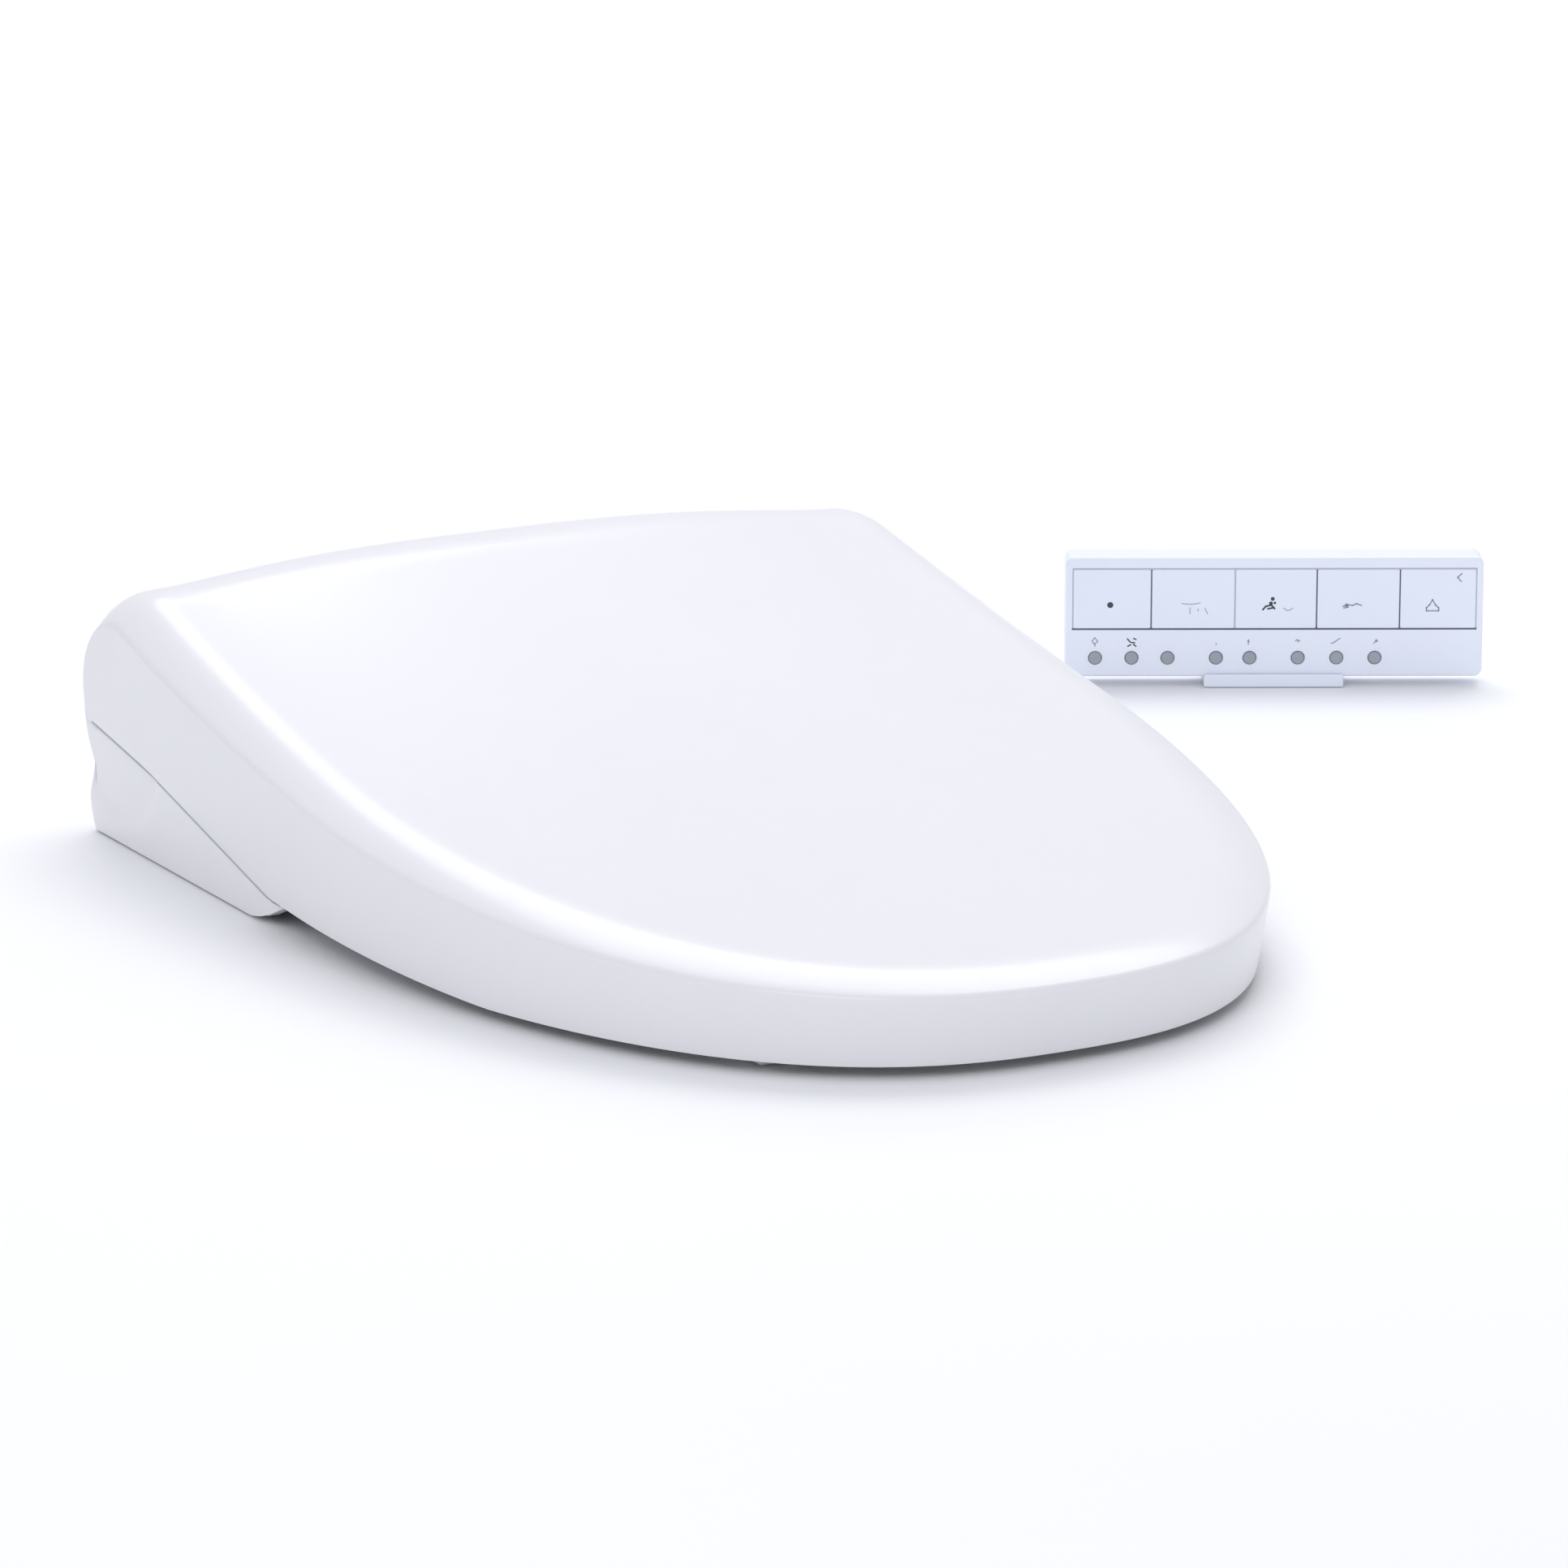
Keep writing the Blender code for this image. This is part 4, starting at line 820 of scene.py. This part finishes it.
def remote_grooves():
    """Dark lines behind the gaps between the keys, and the ruled line under them."""
    front, back = FRONT_Y - PRINT_PROUD, FRONT_Y + 0.0019
    dark = bmesh.new()
    strip(dark, 0.0028, 0.1882, KEY_BOTTOM - 0.0003, KEY_BOTTOM + 0.0006, front, back)
    for x in (KEY_EDGES[1], KEY_EDGES[3], KEY_EDGES[4]):
        strip(dark, x - 0.0005, x + 0.0005, KEY_TOP, KEY_BOTTOM, front + 0.00002, back)
    remote_piece("remote_lines_dark", dark, "groove", "remote", ())
    pale = bmesh.new()
    strip(pale, 0.0030, 0.1880, KEY_TOP - 0.0004, KEY_TOP + 0.0004, front, back)
    strip(pale, KEY_EDGES[2] - 0.0005, KEY_EDGES[2] + 0.0005, KEY_TOP, KEY_BOTTOM, front + 0.00002, back)
    for x in (KEY_EDGES[0], KEY_EDGES[-1]):
        strip(pale, x - 0.0003, x + 0.0003, KEY_TOP, KEY_BOTTOM, front + 0.00002, back)
    remote_piece("remote_lines_pale", pale, "groove_soft", "remote", ())


def stroke(work, points, width, front):
    """A raised print line through points, as (x, drop)."""
    for (x0, d0), (x1, d1) in zip(points, points[1:]):
        along = Vector((x1 - x0, d1 - d0))
        off = Vector((-along.y, along.x)).normalized() * width / 2
        reach = along.normalized() * width / 2
        corners = [
            (x0 - reach.x + off.x, d0 - reach.y + off.y),
            (x1 + reach.x + off.x, d1 + reach.y + off.y),
            (x1 + reach.x - off.x, d1 + reach.y - off.y),
            (x0 - reach.x - off.x, d0 - reach.y - off.y),
        ]
        rows = [[work.verts.new(face_point(x, d, y)) for x, d in corners] for y in (front + 0.0002, front)]
        solid_faces(work, rows)


def disc(work, x, drop, radius, front):
    """A raised print dot."""
    outline = ring_points(x, drop, radius, 20)
    rows = [[work.verts.new(face_point(a, b, y)) for a, b in outline] for y in (front + 0.0002, front)]
    solid_faces(work, rows)


def remote_icons():
    """Generic signs on the keys and above the round buttons."""
    key_face = FRONT_Y - 0.00060
    case_face = FRONT_Y - PRINT_PROUD

    def sign(name, material, body, front, strokes=(), discs=(), width=0.0005):
        work = bmesh.new()
        for points in strokes:
            stroke(work, points, width, front)
        for x, drop, radius in discs:
            disc(work, x, drop, radius, front)
        remote_piece(name, work, material, body, ())

    sign("icon_stop", "print_dark", "key_stop", key_face, discs=[(0.0203, 0.0221, 0.0014)])
    sign("icon_rear_wash", "print_soft", "key_rear_wash", key_face, [
        [(0.0530, 0.0214), (0.0552, 0.0217), (0.0588, 0.0217), (0.0614, 0.0211)],
        [(0.0568, 0.0234), (0.0568, 0.0262)],
        [(0.0636, 0.0236), (0.0648, 0.0262)],
        [(0.0606, 0.0240), (0.0604, 0.0250)],
    ], width=0.00035)
    sign("icon_soft_wash", "print_dark", "key_soft_wash", key_face, [
        [(0.0902, 0.0243), (0.0915, 0.0228), (0.0940, 0.0222), (0.0955, 0.0238)],
        [(0.0925, 0.0239), (0.0944, 0.0236)],
    ], [(0.0946, 0.0193, 0.0009), (0.0938, 0.0214, 0.0009), (0.0956, 0.0212, 0.0006)], 0.0008)
    sign("icon_soft_spray", "print_soft", "key_soft_wash", key_face, [
        [(0.0996, 0.0236), (0.1010, 0.0247), (0.1026, 0.0246), (0.1038, 0.0236)],
    ], width=0.00035)
    sign("icon_front_wash", "print_soft", "key_front_wash", key_face, [
        [(0.1268, 0.0228), (0.1290, 0.0221), (0.1312, 0.0224), (0.1330, 0.0216), (0.1352, 0.0224)],
        [(0.1272, 0.0236), (0.1292, 0.0232)],
    ], [(0.1284, 0.0224, 0.0009)], 0.0006)
    sign("icon_dryer", "print_soft", "key_dryer", key_face, [
        [(0.1650, 0.0250), (0.1650, 0.0235), (0.1664, 0.0222), (0.1677, 0.0198),
         (0.1692, 0.0224), (0.1706, 0.0236), (0.1706, 0.0250), (0.1650, 0.0250)],
    ], width=0.0006)
    sign("icon_chevron", "print_soft", "key_dryer", key_face, [
        [(0.1808, 0.0076), (0.1790, 0.0093), (0.1806, 0.0112)],
    ], width=0.0006)

    soft = [
        [(0.0134, 0.0376), (0.0122, 0.0392), (0.0132, 0.0406), (0.0148, 0.0394), (0.0134, 0.0376)],
        [(0.0135, 0.0408), (0.0135, 0.0416)],
        [(0.0690, 0.0402), (0.0690, 0.0408)],
        [(0.0838, 0.0386), (0.0838, 0.0408)],
        [(0.0834, 0.0394), (0.0842, 0.0394)],
        [(0.1054, 0.0392), (0.1062, 0.0386), (0.1066, 0.0396), (0.1074, 0.0390)],
        [(0.1218, 0.0404), (0.1228, 0.0401), (0.1240, 0.0392), (0.1258, 0.0380)],
        [(0.1412, 0.0404), (0.1418, 0.0398)],
    ]
    sign("icons_soft", "print_soft", "remote", case_face, soft, [(0.1424, 0.0392, 0.0007)], 0.00045)
    dark = [
        [(0.0284, 0.0382), (0.0294, 0.0394)],
        [(0.0312, 0.0380), (0.0322, 0.0384)],
        [(0.0298, 0.0398), (0.0316, 0.0400)],
        [(0.0286, 0.0416), (0.0298, 0.0410)],
        [(0.0312, 0.0408), (0.0322, 0.0416)],
    ]
    sign("icons_dark", "print_dark", "remote", case_face, dark, (), 0.0006)


# ---------------------------------------------------------------- CAD nodes that stay

def dress(name, material, width):
    """Gives a CAD node its finish, and rounds its sharp edges a little."""
    node = NODES[name]
    node.data.materials.clear()
    node.data.materials.append(MATERIALS[material])
    if width:
        weld = node.modifiers.new("weld", "WELD")
        weld.merge_threshold = 0.00001
        bevel(node, width, 2, 35)


def dress_all():
    """Every CAD node that shows takes the finish of its slot and a small bevel."""
    slots = {row["node"]: row["material_slot"] for row in frame["record"]["subparts"]}
    widths = {
        "upper_cover": 0.0012, "lower_case": 0.0008, "side_panel_left": 0.0008, "side_panel_right": 0.0008,
        "seat_ring_bottom": 0.0010, "base_plate": 0.0006, "remote_hanger": 0.0007, "release_button": 0.0,
    }
    for name in sorted(NODES):
        dress(name, slots[name], widths.get(name, 0.0003))


# ---------------------------------------------------------------- stage

def plane(name, size, z, material):
    """A flat square of stage, reaching size out from its middle."""
    work = bmesh.new()
    bmesh.ops.create_grid(work, x_segments=8, y_segments=8, size=size)
    bmesh.ops.translate(work, vec=(0, 0, z), verts=work.verts)
    mesh = bpy.data.meshes.new(name)
    work.to_mesh(mesh)
    work.free()
    made = bpy.data.objects.new(name, mesh)
    mesh.materials.append(material)
    bpy.context.scene.collection.objects.link(made)


def area_light(name, place, target, size, power, colour=(1, 1, 1)):
    """A soft rectangular light that faces its target."""
    data = bpy.data.lights.new(name, "AREA")
    data.shape = "RECTANGLE"
    data.size, data.size_y = size
    data.energy = power
    data.color = colour
    made = bpy.data.objects.new(name, data)
    made.location = place
    made.rotation_mode = "QUATERNION"
    made.rotation_quaternion = (Vector(target) - Vector(place)).to_track_quat("-Z", "Y")
    bpy.context.scene.collection.objects.link(made)
    return made


def lights():
    """A large soft light over the seat, a smaller one in front, one for the floor behind, and the sky."""
    area_light("softbox", place=(0.9, 1.0, 2.4), target=(0.05, -0.2, 0.05), size=(2.6, 1.6), power=33)
    area_light(
        "key", place=(-1.7, -2.1, 1.9), target=(0.0, -0.25, 0.05), size=(1.6, 1.2), power=16,
        colour=(1.0, 0.995, 0.985),
    )
    backdrop = area_light(
        "backdrop", place=(2.4, 4.0, 2.2), target=(2.4, 4.0, 0.0), size=(3.5, 3.0), power=80
    )
    backdrop.visible_glossy = False
    world = bpy.data.worlds.new("studio")
    world.use_nodes = True
    sky = world.node_tree.nodes["Background"]
    sky.inputs["Color"].default_value = (0.93, 0.94, 1.0, 1)
    sky.inputs["Strength"].default_value = 0.76
    bpy.context.scene.world = world


def camera():
    """Looks at the seat from its front left, a little above it."""
    data = bpy.data.cameras.new("camera")
    data.lens = CAMERA_LENS
    data.sensor_width = 36.0
    data.clip_end = 50.0
    made = bpy.data.objects.new("camera", data)
    a, e = CAMERA_AZIMUTH, CAMERA_PITCH
    back = Vector((math.sin(a) * math.cos(e), -math.cos(a) * math.cos(e), math.sin(e)))
    right = Vector((math.cos(a), math.sin(a), 0))
    turn = Matrix((right, back.cross(right), back)).transposed().to_4x4()
    made.matrix_world = Matrix.Translation(CAMERA_PLACE) @ turn
    bpy.context.scene.collection.objects.link(made)
    bpy.context.scene.camera = made


# ---------------------------------------------------------------- the whole scene

camera()
lights()
plane("floor", 12.0, -0.0004, floor_material())
dress_all()
lid_shell()
seat_ring()
side_skins()
seam_shadow_strips()
remote_front()
remote_keys()
remote_buttons()
remote_grooves()
remote_icons()
bpy.context.scene.view_settings.view_transform = "Standard"

bpy.context.view_layer.update()
